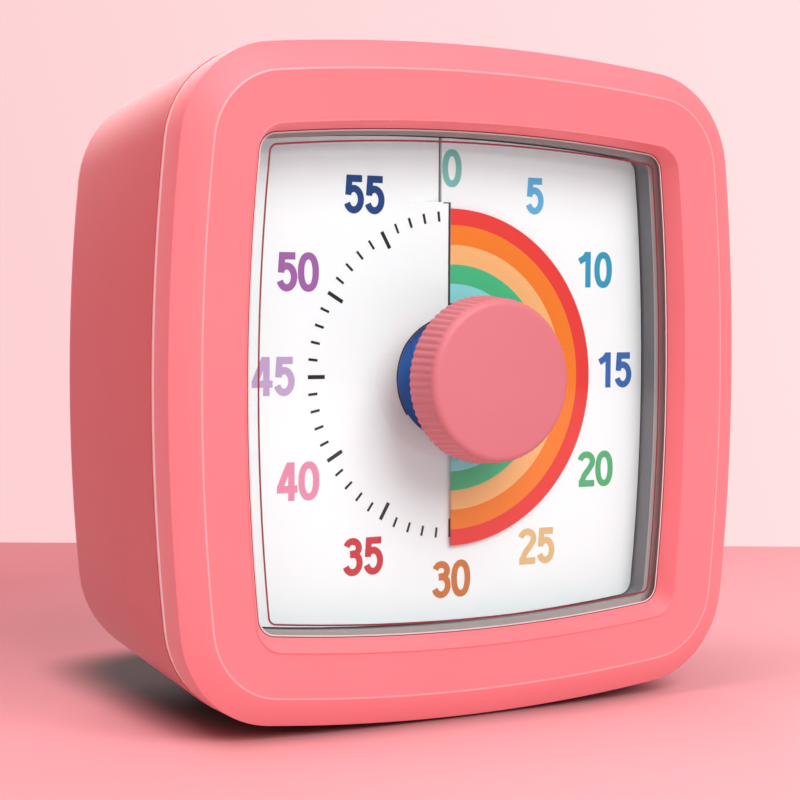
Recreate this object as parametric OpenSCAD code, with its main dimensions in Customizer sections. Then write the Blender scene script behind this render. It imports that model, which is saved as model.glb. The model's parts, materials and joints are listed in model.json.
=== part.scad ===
// Sixty-minute visual countdown timer, built as its separate pieces.
// A coloured sheet disc threads through a slit in the dial: the knob draws it out clockwise, and a
// quartz step motor winds it back. Every piece is drawn in a working frame whose origin is the
// middle of the bezel's front plane: X to the right, Y into the body, Z up. place() then sets the
// timer on its feet, with the origin at the middle of the footprint.

/* [Body] */
// Width and height of the body at its widest, just behind the front
body_size = 78; // [74:1:84]
// Depth from the bezel's front plane to the back face
body_depth = 38; // [36:1:44]
// Radius of the body's corners, seen from the front
corner_r = 12; // [9:0.5:15]
// Radius of the gentle outward bulge of each side
side_bulge_r = 250; // [180:10:400]
// How much narrower each side of the back is than the front
back_taper = 2.4; // [1.5:0.1:3.5]
// Radius of the body's corners at the back
back_corner_r = 12.4; // [9:0.2:15]
// Rounding of the edge round the back face
back_edge_r = 2.2; // [1:0.1:3]
// Wall of the moulded rear shell
shell_wall = 1.8; // [1.4:0.1:2.4]

/* [Bezel] */
// Depth of the bezel, from its front plane to the seam
bezel_depth = 5.7; // [5:0.1:7]
// Width of the sloping band round the front
slope_w = 3.25; // [2.4:0.05:4.2]
// How far the sloping band falls back
slope_drop = 1.6; // [1:0.1:2.4]
// Width of the flat front band between the slope and the window
front_band_w = 5.45; // [4.5:0.05:7]
// Fall of the front band towards the window
band_drop = 0.4; // [0.1:0.05:0.8]
// How far the window's upper and lower edges lie below the middle of the front
window_drop = 0.35; // [0:0.05:0.6]
// Width of the bevel that runs down to the lens
bevel_w = 1.1; // [0.6:0.05:1.6]
// Depth at which the bevel meets the lens
bevel_depth = 2.4; // [1.8:0.1:3]
// Corner radius of the window
window_corner_r = 3.4; // [2:0.1:6]
// Wall of the bezel moulding
bezel_wall = 1.9; // [1.5:0.1:2.4]

/* [Window] */
// Thickness of the clear lens at its border
lens_t = 1.5; // [1:0.1:2]
// How far the lens border reaches under the bezel, past the window
lens_border = 2; // [1.2:0.1:2.6]
// Height of the raised middle panel of the lens
lens_step = 0.3; // [0.15:0.05:0.5]
// Width of the low border of the lens that shows inside the window
lens_step_in = 1.4; // [0.8:0.1:2.4]
// Distance from the bezel's front plane to the dial's face
dial_depth = 7; // [6.6:0.1:8]

/* [Dial] */
// Thickness of the dial plate
dial_t = 0.8; // [0.6:0.1:1]
// Radius of the hole in the middle of the dial
dial_hole_r = 7.2; // [7:0.1:9]
// How far the dial's centre lies above the body's centre
dial_rise = 0.4; // [0:0.1:1]
// How far the louvre beside the slit stands out of the dial
louvre_h = 1.05; // [0.95:0.05:1.2]
// Length of the louvre's ramp, to the left of the slit
louvre_w = 5; // [2.6:0.1:6]
// Distance of the louvre's free edge to the left of twelve o'clock
louvre_edge = 0.7; // [0.4:0.05:0.9]
// Width of the cut that lets the dial be threaded over the disc
thread_cut_w = 0.3; // [0.15:0.05:0.4]
// Distance of that cut to the left of twelve o'clock
thread_cut_x = 1.5; // [1.2:0.1:1.8]

/* [Disc] */
// Radius of the coloured disc
disc_r = 20; // [19:0.25:21]
// Thickness of the disc's sheet
disc_t = 0.3; // [0.2:0.05:0.4]
// Gap between the disc and the faces of the dial
disc_gap = 0.35; // [0.3:0.05:0.5]
// Radius of the hub's flange and of the washer that clamp the disc
clamp_r = 5; // [4.5:0.25:6]
// Thickness of the hub's flange and of the washer
clamp_t = 0.6; // [0.5:0.1:0.8]
// Radius of the hub's sleeve
hub_r = 2.9; // [2.5:0.1:3.4]

/* [Knob] */
// Radius of the knob at its back rim
knob_r = 9.75; // [8.5:0.05:11]
// Draft of the knob's side
knob_draft = 0.3; // [0.1:0.05:0.5]
// How far the knob's face stands in front of the bezel's front plane
knob_out = 4.6; // [3:0.05:6]
// Rounding of the edge round the knob's face
knob_edge_r = 1; // [0.8:0.1:2]
// Number of grip ribs
knob_ribs = 68; // [48:1:80]
// Depth of the grooves between the ribs at the knob's back rim
rib_depth = 0.25; // [0.2:0.05:0.6]
// Wall of the hollow knob
knob_wall = 1.4; // [1.2:0.1:2]
// Gap between the knob's back rim and the lens
knob_gap = 2; // [0.3:0.1:2.4]

/* [Shaft] */
// Radius of the output shaft
shaft_r = 1.5; // [1.3:0.05:1.7]
// Radius of the shaft's thin rear end
tail_r = 0.8; // [0.7:0.05:1]
// Radial clearance of turning fits
run_gap = 0.05; // [0.02:0.01:0.08]
// Radial clearance of pressed fits
press_gap = 0.02; // [0.01:0.01:0.04]
// Clearance between faces that slide past each other
face_gap = 0.1; // [0.05:0.05:0.2]

/* [Chassis] */
// Wall of the inner frame's tray
tray_wall = 1.2; // [1:0.1:1.6]
// Thickness of the tray's floor
floor_t = 1.4; // [1.2:0.1:2]
// Room between the tray's floor and the disc's hub
hub_room = 0.4; // [0.3:0.1:0.8]
// Thickness of the flange that shows as a light line in the seam
seam_t = 0.8; // [0.3:0.05:1]
// How far that flange stays inside the housing's outer face
seam_inset = 0.1; // [0.05:0.05:0.4]
// Clearance of the dial plate and the lens in their pockets
pocket_gap = 0.2; // [0.1:0.05:0.3]

/* [Movement] */
// Thickness of the movement's front and back plates
plate_t = 1.2; // [1:0.1:1.6]
// Height of the room inside the movement
movement_room = 11.2; // [11:0.1:12]
// Wall of the movement's case
case_wall = 1.2; // [1:0.1:1.6]
// Module of the drive wheel's teeth
drive_module = 0.35; // [0.33:0.01:0.37]
// Module of the third wheel's teeth
third_module = 0.25; // [0.24:0.01:0.26]
// Module of the second wheel's teeth
second_module = 0.2; // [0.19:0.01:0.21]
// Module of the first wheel's teeth
first_module = 0.25; // [0.24:0.01:0.26]
// Thickness of the wheels
wheel_t = 0.8; // [0.6:0.05:0.9]
// Radius of the wheels' arbors
arbor_r = 0.6; // [0.5:0.05:0.7]
// Radius of the pivots at the arbors' ends
pivot_r = 0.4; // [0.3:0.05:0.45]
// Radius of the rotor magnet
magnet_r = 2.5; // [2.2:0.1:2.6]
// Thickness of the stator plate
stator_t = 0.8; // [0.6:0.1:1]
// Radius of the coil's winding
coil_r = 2.1; // [1.8:0.1:2.2]
// Length of the coil's winding
coil_l = 11; // [9:0.5:12]
// Thickness of the circuit board
board_t = 1.2; // [1:0.1:1.6]
// Gap between the movement's back plate and the circuit board
board_gap = 0.5; // [0.4:0.1:1]

/* [Battery] */
// Diameter of the AA cell
cell_d = 14.2; // [14:0.1:14.5]
// Length of the AA cell with its button
cell_l = 50.2; // [49.5:0.1:50.5]
// Room between the cell and the walls of its bay
cell_gap = 0.3; // [0.25:0.05:0.6]
// Room for the spring at the cell's flat end
spring_room = 2.9; // [2.6:0.1:3.4]
// Distance of the bay's lower wall above the middle of the body's underside
bay_rise = 7.9; // [7.7:0.1:9]
// Wall of the battery bay
bay_wall = 1; // [0.8:0.1:1.2]
// Thickness of the battery door
door_t = 1.6; // [1.4:0.1:1.8]
// Gap round the battery door
door_gap = 0.2; // [0.15:0.05:0.3]
// Thickness of the sheet of the battery contacts
contact_t = 0.4; // [0.3:0.05:0.5]

/* [Sound and switch] */
// Radius of the buzzer
buzzer_r = 6; // [5:0.5:6.5]
// Distance of the buzzer and the switch from the timer's middle
fitting_x = 12; // [11:0.5:13]
// Height of the buzzer and the switch above the dial's centre
fitting_z = 11; // [9:0.5:13]
// Radius of each sound hole
sound_hole_r = 0.7; // [0.5:0.1:0.9]
// Distance between rings of sound holes
sound_pitch = 2.4; // [2.2:0.1:3]
// Travel of the volume switch
switch_travel = 3; // [2:0.25:4]
// Width of the thumb piece of the volume switch
thumb_w = 4; // [3:0.25:5]
// How far the thumb piece stands out of the back
thumb_out = 0.4; // [0.2:0.1:0.8]

/* [Fasteners and feet] */
// Shank radius of the housing screws
screw_r = 1; // [0.9:0.05:1.2]
// Head radius of the housing screws
screw_head_r = 2; // [1.8:0.1:2.2]
// Depth of the screw head's seat below the back face
screw_well = 20; // [17:0.5:21]
// Distance of the housing screws from the sides of the body
screw_in = 10.2; // [9.6:0.1:10.8]
// Distance of the lower housing screws below the centre
screw_drop = 6.6; // [4:0.2:6.8]
// Radius of the rubber feet
foot_r = 3.2; // [2.5:0.1:3.6]
// How far the feet hold the body off the table
foot_lift = 0.3; // [0.2:0.05:0.8]
// Sideways distance of the feet from the centre
foot_x = 19; // [16:0.5:23]

/* [Hidden] */

$fn = 64;
eps = 0.01;

// An outline is [half size, corner radius, bulge radius, drop]: four shallow arcs joined by corner arcs,
// all of it lowered by the drop.
side_steps = 12;
corner_steps = 10;
function inset(o, by) = [o[0] - by, o[1] - by, o[2] - by, o[3]];
function bulge_centre(o) = o[0] - o[2];
function corner_centre(o) =
    (bulge_centre(o) + sqrt(2 * pow(o[2] - o[1], 2) - pow(bulge_centre(o), 2))) / 2;
function side_angle(o) = asin(corner_centre(o) / (o[2] - o[1]));
function quarter_turn(p, q) = q == 0 ? p : quarter_turn([-p[1], p[0]], q - 1);
function outline_points(o) =
    let (c = bulge_centre(o), k = corner_centre(o), a = side_angle(o)) [
        for (q = [0:3]) each concat(
            [for (i = [0:side_steps - 1]) let (t = -a + 2 * a * i / side_steps)
                [0, -o[3]] + quarter_turn([c + o[2] * cos(t), o[2] * sin(t)], q)],
            [for (i = [0:corner_steps - 1]) let (t = a + (90 - 2 * a) * i / corner_steps)
                [0, -o[3]] + quarter_turn([k + o[1] * cos(t), k + o[1] * sin(t)], q)])];

// Skins a stack of outlines, each [depth, outline], into one closed solid.
module loft(levels) {
    rings = [for (l = levels) [l[0], outline_points(l[1])]];
    n = len(rings[0][1]);
    last = len(rings) - 1;
    polyhedron(
        points = [for (r = rings) for (p = r[1]) [p[0], r[0], p[1]]],
        faces = concat(
            [[for (i = [n - 1:-1:0]) i]],
            [for (k = [0:last - 1]) for (i = [0:n - 1]) let (j = (i + 1) % n)
                each [[k * n + i, k * n + j, (k + 1) * n + j],
                    [k * n + i, (k + 1) * n + j, (k + 1) * n + i]]],
            [[for (i = [0:n - 1]) last * n + i]]));
}

// Extrudes a drawing of the front view from depth y0 to y1.
module slab(y0, y1) translate([0, y1, 0]) rotate([90, 0, 0]) linear_extrude(y1 - y0) children();
module outline_slab(o, y0, y1) slab(y0, y1) polygon(outline_points(o));
module rod(r, y0, y1, x = 0, z = 0) translate([x, y1, z]) rotate([90, 0, 0]) cylinder(r = r, h = y1 - y0);
module box(x0, x1, y0, y1, z0, z1) translate([x0, y0, z0]) cube([x1 - x0, y1 - y0, z1 - z0]);
module at_dial() translate([0, 0, dial_rise]) children();
// Turns a profile of [radius, depth] points about the axis through the dial's centre.
module turned(profile) rotate([-90, 0, 0]) rotate_extrude() polygon(profile);
function rounded_rect(w, h, r, steps = 5) = [
    for (q = [0:3]) let (sx = (q == 0 || q == 3) ? 1 : -1, sz = q < 2 ? 1 : -1)
        for (i = [0:steps]) let (t = 90 * q + 90 * i / steps)
            [sx * (w / 2 - r) + r * cos(t), sz * (h / 2 - r) + r * sin(t)]];

// Outlines of the housing
half = body_size / 2;
shoulder_line = [half, corner_r, side_bulge_r, 0];
crease_line = inset(shoulder_line, slope_w);
window_line = [crease_line[0] - front_band_w, window_corner_r, side_bulge_r, window_drop];
lip_line = [window_line[0] - bevel_w, window_corner_r - bevel_w, side_bulge_r - bevel_w, 0];
seam_line = inset(shoulder_line, 0.15);
back_line = [seam_line[0] - back_taper, back_corner_r, side_bulge_r - back_taper, 0];
tray_inner = inset(lip_line, 0.3);
tray_outer = inset(tray_inner, -tray_wall);
lens_line = [lip_line[0] + lens_border, window_corner_r + 0.6, side_bulge_r, 0];
lens_panel_line = inset(lip_line, lens_step_in);

// Depths, from the front plane to the back
lens_front = bevel_depth;
lens_back = lens_front + lens_step + lens_t;
tray_front = lens_back;
seam_back = bezel_depth + seam_t;
dial_back = dial_depth + dial_t;
disc_front = dial_depth - disc_gap - disc_t;
disc_behind = dial_back + disc_gap;
hub_back = disc_behind + disc_t + clamp_t;
floor_front = hub_back + hub_room;
floor_back = floor_front + floor_t;
gears_front = floor_back + plate_t;
gears_back = gears_front + movement_room;
movement_end = gears_back + plate_t;
board_front = movement_end + board_gap;
board_back = board_front + board_t;
shell_back_inner = body_depth - shell_wall;
knob_back = lens_front - knob_gap;

// The timer on its feet
centre_z = half + foot_lift;
front_y = knob_out - (body_depth + thumb_out + knob_out) / 2;
module place() translate([0, front_y, centre_z]) children();

/* ---- Housing ---- */

bezel_boss_r = 2.2;
bezel_screw_x = tray_outer[0] + bezel_boss_r + 1.2;
bezel_screw_z = 17;
bezel_screw_at = [for (sx = [-1, 1]) for (sz = [-1, 1]) [sx * bezel_screw_x, sz * bezel_screw_z]];
bezel_pilot_r = 0.8;

module front_bezel() color("#FF8A90") difference() {
    union() {
        difference() {
            loft(concat(
                [for (k = [0:3]) [slope_drop * pow(k / 3, 1.25), inset(crease_line, -slope_w * k / 3)]],
                [[bezel_depth, seam_line]]));
            // hollow between the outer wall and the rib round the lens
            difference() {
                loft([[slope_drop + bezel_wall - 0.6, inset(shoulder_line, bezel_wall + 0.6)],
                    [bezel_depth + eps, inset(seam_line, bezel_wall)]]);
                outline_slab(inset(lens_line, -pocket_gap - tray_wall), 0, bezel_depth + 1);
            }
        }
        for (p = bezel_screw_at) rod(bezel_boss_r, slope_drop, bezel_depth, p[0], p[1]);
    }
    // window, from the front band down the bevel
    loft([[-eps, inset(crease_line, 0.2)], [band_drop, window_line],
        [bevel_depth, lip_line], [bevel_depth + eps, lip_line]]);
    outline_slab(inset(lens_line, -pocket_gap), bevel_depth, bezel_depth + 1);
    for (p = bezel_screw_at) rod(bezel_pilot_r, slope_drop + 1, bezel_depth + 1, p[0], p[1]);
}

module lens() color("#E9F1F4", 0.35) difference() {
    union() {
        outline_slab(lens_line, lens_front + lens_step, lens_back);
        outline_slab(lens_panel_line, lens_front, lens_back);
    }
    at_dial() rod(shaft_r + 0.5, lens_front - 1, lens_back + 1);
}

dial_pin_span = tray_inner[0] - 4.3;
dial_pin_at = [for (sx = [-1, 1]) for (sz = [-1, 1]) [sx * dial_pin_span, sz * dial_pin_span]];
dial_pin_r = 0.8;
// lower housing screws sit above the battery bay
screw_span = half - screw_in;
housing_screw_at = [for (sx = [-1, 1]) for (z = [screw_span, -screw_drop]) [sx * screw_span, z]];
post_r = 2.6;
post_back = floor_back + 3;

module inner_frame() color("#E4E6EA") difference() {
    union() {
        difference() {
            outline_slab(tray_outer, tray_front, floor_back);
            outline_slab(tray_inner, tray_front - 1, floor_front);
        }
        // flange: thin where it shows in the seam, thicker inside the walls
        difference() {
            union() {
                outline_slab(inset(seam_line, seam_inset), bezel_depth, seam_back);
                outline_slab(inset(seam_line, shell_wall + 0.5), bezel_depth, seam_back + 1);
            }
            outline_slab(inset(tray_outer, eps), bezel_depth - 1, seam_back + 2);
        }
        for (p = dial_pin_at) rod(post_r, dial_back, floor_front + eps, p[0], p[1]);
        for (p = housing_screw_at) rod(post_r, floor_back - eps, post_back, p[0], p[1]);
    }
    at_dial() rod(hub_r + 0.6, floor_front - 1, floor_back + 1);
    for (p = dial_pin_at) rod(dial_pin_r + run_gap, dial_back - 1, floor_front, p[0], p[1]);
    for (p = housing_screw_at) rod(0.8, floor_front + 0.4, post_back + 1, p[0], p[1]);
    for (p = bezel_screw_at) rod(screw_r + 0.15, bezel_depth - 1, seam_back + 2, p[0], p[1]);
    at_dial() for (p = movement_screw_at) rod(0.7, floor_front + 0.4, floor_back + 1, p[0], p[1]);
}

hood_t = 0.35;
louvre_x0 = -louvre_edge - louvre_w;
louvre_x1 = 0.3;
louvre_top = disc_r + 0.7;

module dial_plate() color("#FAFAFA") {
    difference() {
        outline_slab(inset(tray_inner, pocket_gap), dial_depth, dial_back);
        at_dial() {
            rod(dial_hole_r, dial_depth - 1, dial_back + 1);
            box(louvre_x0, louvre_x1, dial_depth - 1, dial_back + 1, 0, louvre_top);
            box(-thread_cut_x - thread_cut_w / 2, -thread_cut_x + thread_cut_w / 2,
                dial_depth - 1, dial_back + 1, 0, half);
        }
    }
    // louvre: the left edge of the slit, lifted so that the disc dives under it
    at_dial() difference() {
        linear_extrude(louvre_top) polygon([[louvre_x0 - 0.6, dial_depth], [louvre_x0, dial_depth - 0.15],
            [-louvre_edge, dial_depth - louvre_h], [-louvre_edge, dial_depth - louvre_h + hood_t],
            [louvre_x0, dial_depth + hood_t], [louvre_x0 - 0.6, dial_depth + hood_t]]);
        rod(dial_hole_r, dial_depth - 3, dial_back + 1);
    }
    for (p = dial_pin_at) rod(dial_pin_r, dial_back - eps, floor_front - 0.3, p[0], p[1]);
}

// Battery bay and door, seen from the front: X along the cell
cell_r = cell_d / 2;
bay_x = (cell_l + spring_room + contact_t * 2) / 2 + 0.3;
bay_low = -half + bay_rise;
bay_high = bay_low + cell_d + 2 * cell_gap;
door_back = body_depth;
door_front = body_depth - door_t;
door_x = bay_x + bay_wall - door_gap;
door_low = bay_low - bay_wall + door_gap;
door_high = bay_high + bay_wall - door_gap;
door_axis_y = door_back - door_t / 2;
door_axis_z = door_low + door_t / 2;
peg_r = 0.5;
peg_l = 0.8;
cell_y = door_front - cell_gap - cell_r;
cell_z = (bay_low + bay_high) / 2;
bay_front = cell_y - cell_r - cell_gap;
contact_w = 8;
tail_w = 2;
contact_front = cell_y - contact_w / 2;

foot_boss_r = foot_r + 1;
foot_y = [seam_back + 1 + foot_boss_r + 0.6, body_depth - back_edge_r - foot_r - 2.6];
// The feet's pockets follow the taper of the underside.
foot_sink = 1.6;
foot_boss_h = 1.4;
foot_boss_lap = 0.6;
function foot_top(y) = pow(foot_x, 2) / (2 * side_bulge_r) + foot_sink
    - seam_line[0] + back_taper * (y - seam_back) / (body_depth - seam_back);
well_r = screw_head_r + 0.4;
screw_seat = body_depth - screw_well;
sound_at = [fitting_x, dial_rise + fitting_z];
switch_at = [-fitting_x, dial_rise + fitting_z];
slot_w = 1.8;
slot_l = thumb_w + switch_travel + 0.4;
slider_t = 1.2;
slider_lap = 1.2;
slider_l = thumb_w + 3;

// The door's outline has round upper corners; grow widens it all round for the pocket.
door_corner_r = 1.2;
module door_shape(low, grow) union() {
    translate([0, (low + door_high) / 2])
        polygon(rounded_rect(2 * (door_x + grow), door_high - low + 2 * grow, door_corner_r + grow));
    translate([-door_x - grow, low - grow]) square([2 * (door_x + grow), (door_high - low) / 2]);
}

// One ring of the rounded edge round the back face
function shell_edge(t) =
    [body_depth - back_edge_r * (1 - sin(t)), inset(back_line, back_edge_r * (1 - cos(t)))];

module rear_shell() color("#E97078") difference() {
    union() {
        difference() {
            loft(concat([[seam_back, seam_line]], [for (t = [0:22.5:90]) shell_edge(t)]));
            loft([[seam_back - eps, inset(seam_line, shell_wall)],
                [shell_back_inner - 1.2, inset(back_line, shell_wall)],
                [shell_back_inner, inset(back_line, shell_wall + 1.2)]]);
        }
        // screw wells
        for (p = housing_screw_at) rod(well_r + 1, post_back, body_depth - 1, p[0], p[1]);
        // battery bay: a box open towards the door
        difference() {
            box(-bay_x - bay_wall, bay_x + bay_wall, bay_front - bay_wall, door_front,
                bay_low - bay_wall, bay_high + bay_wall);
            box(-bay_x, bay_x, bay_front, door_front + 1, bay_low, bay_high);
        }
        // bosses above the feet
        for (x = [-foot_x, foot_x]) for (y = foot_y)
            translate([x, y, foot_top(y) - foot_boss_lap])
                cylinder(r = foot_boss_r, h = foot_boss_lap + foot_boss_h);
        // collar round the buzzer
        difference() {
            rod(buzzer_r + 1.2, shell_back_inner - 3, shell_back_inner + eps, sound_at[0], sound_at[1]);
            rod(buzzer_r + 0.2, shell_back_inner - 4, shell_back_inner + 1, sound_at[0], sound_at[1]);
        }
    }
    for (p = housing_screw_at) {
        rod(well_r, screw_seat, body_depth + 1, p[0], p[1]);
        rod(screw_r + 0.15, post_back - 1, screw_seat + 1, p[0], p[1]);
    }
    for (x = [-foot_x, foot_x]) for (y = foot_y)
        translate([x, y, -half - 1]) cylinder(r = foot_r + 0.1, h = foot_top(y) + half + 1);
    // door pocket with the holes for the door's pegs
    slab(door_front, body_depth + 1) door_shape(door_low, door_gap);
    translate([0, door_axis_y, door_axis_z]) rotate([0, 90, 0])
        cylinder(r = peg_r + run_gap, h = 2 * (door_x + peg_l + 0.2), center = true);
    // finger notch above the door's latch
    translate([0, body_depth + 1.6, door_high + 0.8]) sphere(r = 3);
    // slots for the tails of the battery contacts
    for (s = [-1, 1]) box(s * (bay_x - contact_t / 2) - 0.5, s * (bay_x - contact_t / 2) + 0.5,
        contact_front - 0.3, contact_front + tail_w + 0.3, bay_high - 1, bay_high + bay_wall + 1);
    // sound holes and the slot of the volume switch
    rod(sound_hole_r, shell_back_inner - 1, body_depth + 1, sound_at[0], sound_at[1]);
    for (ring = [1, 2]) for (i = [0:6 * ring - 1]) let (a = 360 * i / (6 * ring))
        rod(sound_hole_r, shell_back_inner - 1, body_depth + 1,
            sound_at[0] + ring * sound_pitch * cos(a), sound_at[1] + ring * sound_pitch * sin(a));
    box(switch_at[0] - slot_l / 2, switch_at[0] + slot_l / 2, shell_back_inner - 1, body_depth + 1,
        switch_at[1] - slot_w / 2, switch_at[1] + slot_w / 2);
}

module feet() color("#4A4446") for (x = [-foot_x, foot_x]) for (y = foot_y)
    translate([x, y, -half - foot_lift]) union() {
        cylinder(r1 = foot_r - 0.4, r2 = foot_r, h = 0.4);
        translate([0, 0, 0.4]) cylinder(r = foot_r, h = foot_top(y) + half + foot_lift - 0.4);
    }

// A pan-head screw driven towards the front, with a cross cut
module screw(x, z, seat, tip, r, head_r, head_t) difference() {
    union() {
        rod(r, tip, seat + eps, x, z);
        rod(head_r, seat, seat + head_t, x, z);
    }
    for (a = [0, 90]) translate([x, seat + head_t, z]) rotate([0, a, 0])
        cube([head_r * 1.2, head_t, 0.4], center = true);
}
module housing_screws() color("#B9BCC2") for (p = housing_screw_at)
    screw(p[0], p[1], screw_seat, floor_front + 0.8, screw_r - 0.25, screw_head_r, 1.5);
module bezel_screws() color("#B9BCC2") for (p = bezel_screw_at)
    screw(p[0], p[1], seam_back + 1, slope_drop + 1.4, 0.75, 1.7, 1.1);
module movement_screws() color("#B9BCC2") at_dial() for (p = movement_screw_at)
    screw(p[0], p[1], floor_back + plate_t, floor_front + 0.8, 0.65, 1.5, 0.9);

/* ---- Knob, shaft and disc ---- */

knob_face_r = knob_r - knob_draft;
// Ribbed outline: a groove and a crown for each rib. The crowns are trimmed to the turned profile.
rib_outline = [for (i = [0:knob_ribs - 1]) each
    [for (s = [[0, knob_r - rib_depth], [0.3, knob_r + 0.02], [0.7, knob_r + 0.02]])
        let (a = 360 * (i + s[0]) / knob_ribs) [s[1] * cos(a), s[1] * sin(a)]]];
knob_profile = concat([[0, -knob_out]],
    [for (t = [90:-22.5:0])
        [knob_face_r - knob_edge_r * (1 - cos(t)), -knob_out + knob_edge_r * (1 - sin(t))]],
    [[knob_r, knob_back], [0, knob_back]]);
flat_depth = 0.45;
spoke_h = 1.2;
spoke_w = 0.9;

module d_rod(r, y0, y1) difference() {
    rod(r, y0, y1);
    box(-r - 1, r + 1, y0 - 1, y1 + 1, shaft_r - flat_depth + (r - shaft_r), r + 2);
}

module knob() color("#F08790") at_dial() difference() {
    union() {
        difference() {
            intersection() {
                turned(knob_profile);
                slab(-knob_out - 1, knob_back + 1) polygon(rib_outline);
            }
            rod(knob_face_r - knob_wall, -knob_out + knob_wall, knob_back + 1);
        }
        rod(shaft_r + 1.6, -knob_out + knob_wall / 2, knob_back - 0.2);
        for (a = [0:60:300]) rotate([0, a, 0])
            box(shaft_r + 1, knob_face_r - knob_wall / 2, -knob_out + knob_wall / 2,
                -knob_out + knob_wall + spoke_h, -spoke_w / 2, spoke_w / 2);
    }
    d_rod(shaft_r + press_gap, -knob_out + knob_wall, knob_back + 1);
}

collar_y = gears_front + face_gap * 3;
collar_t = 0.6;
drive_front = collar_y + collar_t + face_gap / 2;
drive_back = drive_front + 1;
clutch_t = 0.7;
clip_y = drive_back + face_gap / 2 + clutch_t;
cam_front = board_back + 0.4;
cam_back = cam_front + 1.4;

module output_shaft() color("#C9CBD0") at_dial() union() {
    d_rod(shaft_r, -knob_out + knob_wall + 0.1, knob_back + eps);
    rod(shaft_r, knob_back, clip_y + 1.4);
    rod(shaft_r + 1.8, collar_y, collar_y + collar_t);
    rod(shaft_r + 1.1, clip_y, clip_y + 0.5);
    rod(tail_r, clip_y + 1, cam_back + 0.3);
}

module disc_hub() color("#F2F2F2") at_dial() difference() {
    union() {
        rod(hub_r, disc_front - clamp_t, hub_back);
        rod(clamp_r, hub_back - clamp_t, hub_back);
    }
    rod(shaft_r + press_gap, 0, hub_back + 1);
}

module disc_washer() color("#3E5FA8") at_dial() difference() {
    rod(clamp_r, disc_front - clamp_t, disc_front);
    rod(hub_r + press_gap, 0, disc_front + 1);
}

// The sheet at thirty minutes: the right half lies on the dial, the left half behind it, and a ramp
// through the slit joins them.
ramp_x0 = louvre_x0 + 0.25;
module disc_sheet(y) difference() {
    rod(disc_r, y, y + disc_t);
    rod(hub_r + press_gap, y - 1, y + 1);
}
module colour_disc() color("#E8403C") at_dial() union() {
    intersection() {
        disc_sheet(disc_front);
        union() {
            box(0, half, 0, body_depth, -half, 0);
            box(louvre_x1, half, 0, body_depth, -eps, half);
        }
    }
    intersection() {
        disc_sheet(disc_behind);
        union() {
            box(-half, 0, 0, body_depth, -half, 0);
            box(-half, ramp_x0, 0, body_depth, -eps, half);
        }
    }
    intersection() {
        linear_extrude(disc_r) polygon([[louvre_x1 + eps, disc_front], [louvre_x1 + eps, disc_front + disc_t],
            [ramp_x0 - eps, disc_behind + disc_t], [ramp_x0 - eps, disc_behind]]);
        difference() {
            rod(disc_r, disc_front - 1, disc_behind + 1);
            rod(hub_r + press_gap, disc_front - 2, disc_behind + 2);
        }
    }
}

// Dished washer that presses the drive wheel against the shaft's collar
module clutch_spring() color("#C8A046") at_dial() let (low = drive_back + face_gap / 2) turned([
    [shaft_r + press_gap, clip_y - 0.25], [shaft_r + 0.6, clip_y - 0.25], [shaft_r + 1.9, low],
    [shaft_r + 2.1, low], [shaft_r + 0.8, clip_y], [shaft_r + press_gap, clip_y]]);

cam_r = 3.4;
module zero_cam() color("#D8D9DC") at_dial() difference() {
    rod(cam_r, cam_front, cam_back);
    rod(tail_r + press_gap, cam_front - 1, cam_back + 1);
    rod(0.9, cam_front - 1, cam_back + 1, 0, -cam_r - 0.2);
}

/* ---- Movement ---- */

// Tooth counts of the train, 1800 rotor turns to one turn of the drive wheel
drive_teeth = 60;
third_teeth = 60;
second_teeth = 64;
first_teeth = 32;
pinion_teeth = 8;
function mesh_distance(teeth, m) = m * (teeth + pinion_teeth) / 2;
function from(p, angle, distance) = [p[0] + distance * cos(angle), p[1] + distance * sin(angle)];
third_angle = 150;
second_angle = 68;
first_angle = 0;
rotor_angle = 0;
third_at = from([0, 0], third_angle, mesh_distance(drive_teeth, drive_module));
second_at = from(third_at, second_angle, mesh_distance(third_teeth, third_module));
first_at = from(second_at, first_angle, mesh_distance(second_teeth, second_module));
rotor_at = from(first_at, rotor_angle, mesh_distance(first_teeth, first_module));
// outline of the movement's case, about the dial's centre: it wraps the wheels with a little room
train_room = 0.95;
function tip_r(teeth, m) = m * (teeth / 2 + 1);
case_w = 2 * (tip_r(third_teeth, third_module) - third_at[0] + train_room + case_wall);
case_low = -(tip_r(drive_teeth, drive_module) + train_room + case_wall);
case_high = second_at[1] + tip_r(second_teeth, second_module) + train_room + case_wall;
case_screw_in = 3.2;
movement_screw_at = [for (sx = [-1, 1]) for (z = [case_low + case_screw_in, case_high - case_screw_in])
    [sx * (case_w / 2 - case_screw_in), z]];

// One tooth is six points: root, pitch and tip on each flank. Half widths are shares of the pitch.
function gear_points(teeth, m, phase) = [for (i = [0:teeth - 1]) each
    [for (s = [[-0.3, -1.25], [-0.21, 0], [-0.09, 0.9], [0.09, 0.9], [0.21, 0], [0.3, -1.25]])
        let (a = phase + 360 * (i + s[0]) / teeth, r = m * (teeth / 2 + s[1])) [r * cos(a), r * sin(a)]]];
module toothed(teeth, m, phase, y0, y1) slab(y0, y1) polygon(gear_points(teeth, m, phase));
// A gap of the pinion faces the wheel that it meshes with.
function gap_phase(angle) = angle + 180 + 180 / pinion_teeth;

// how far a pinion reaches past the wheel that it meshes with
pinion_reach = 0.2;
third_y = drive_back + 1;
second_y = third_y + wheel_t + 0.8;
first_y = second_y + wheel_t + 0.6;
magnet_y = first_y + wheel_t + 0.8;
magnet_t = 1.8;
stator_y = magnet_y + 0.5;

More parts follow.
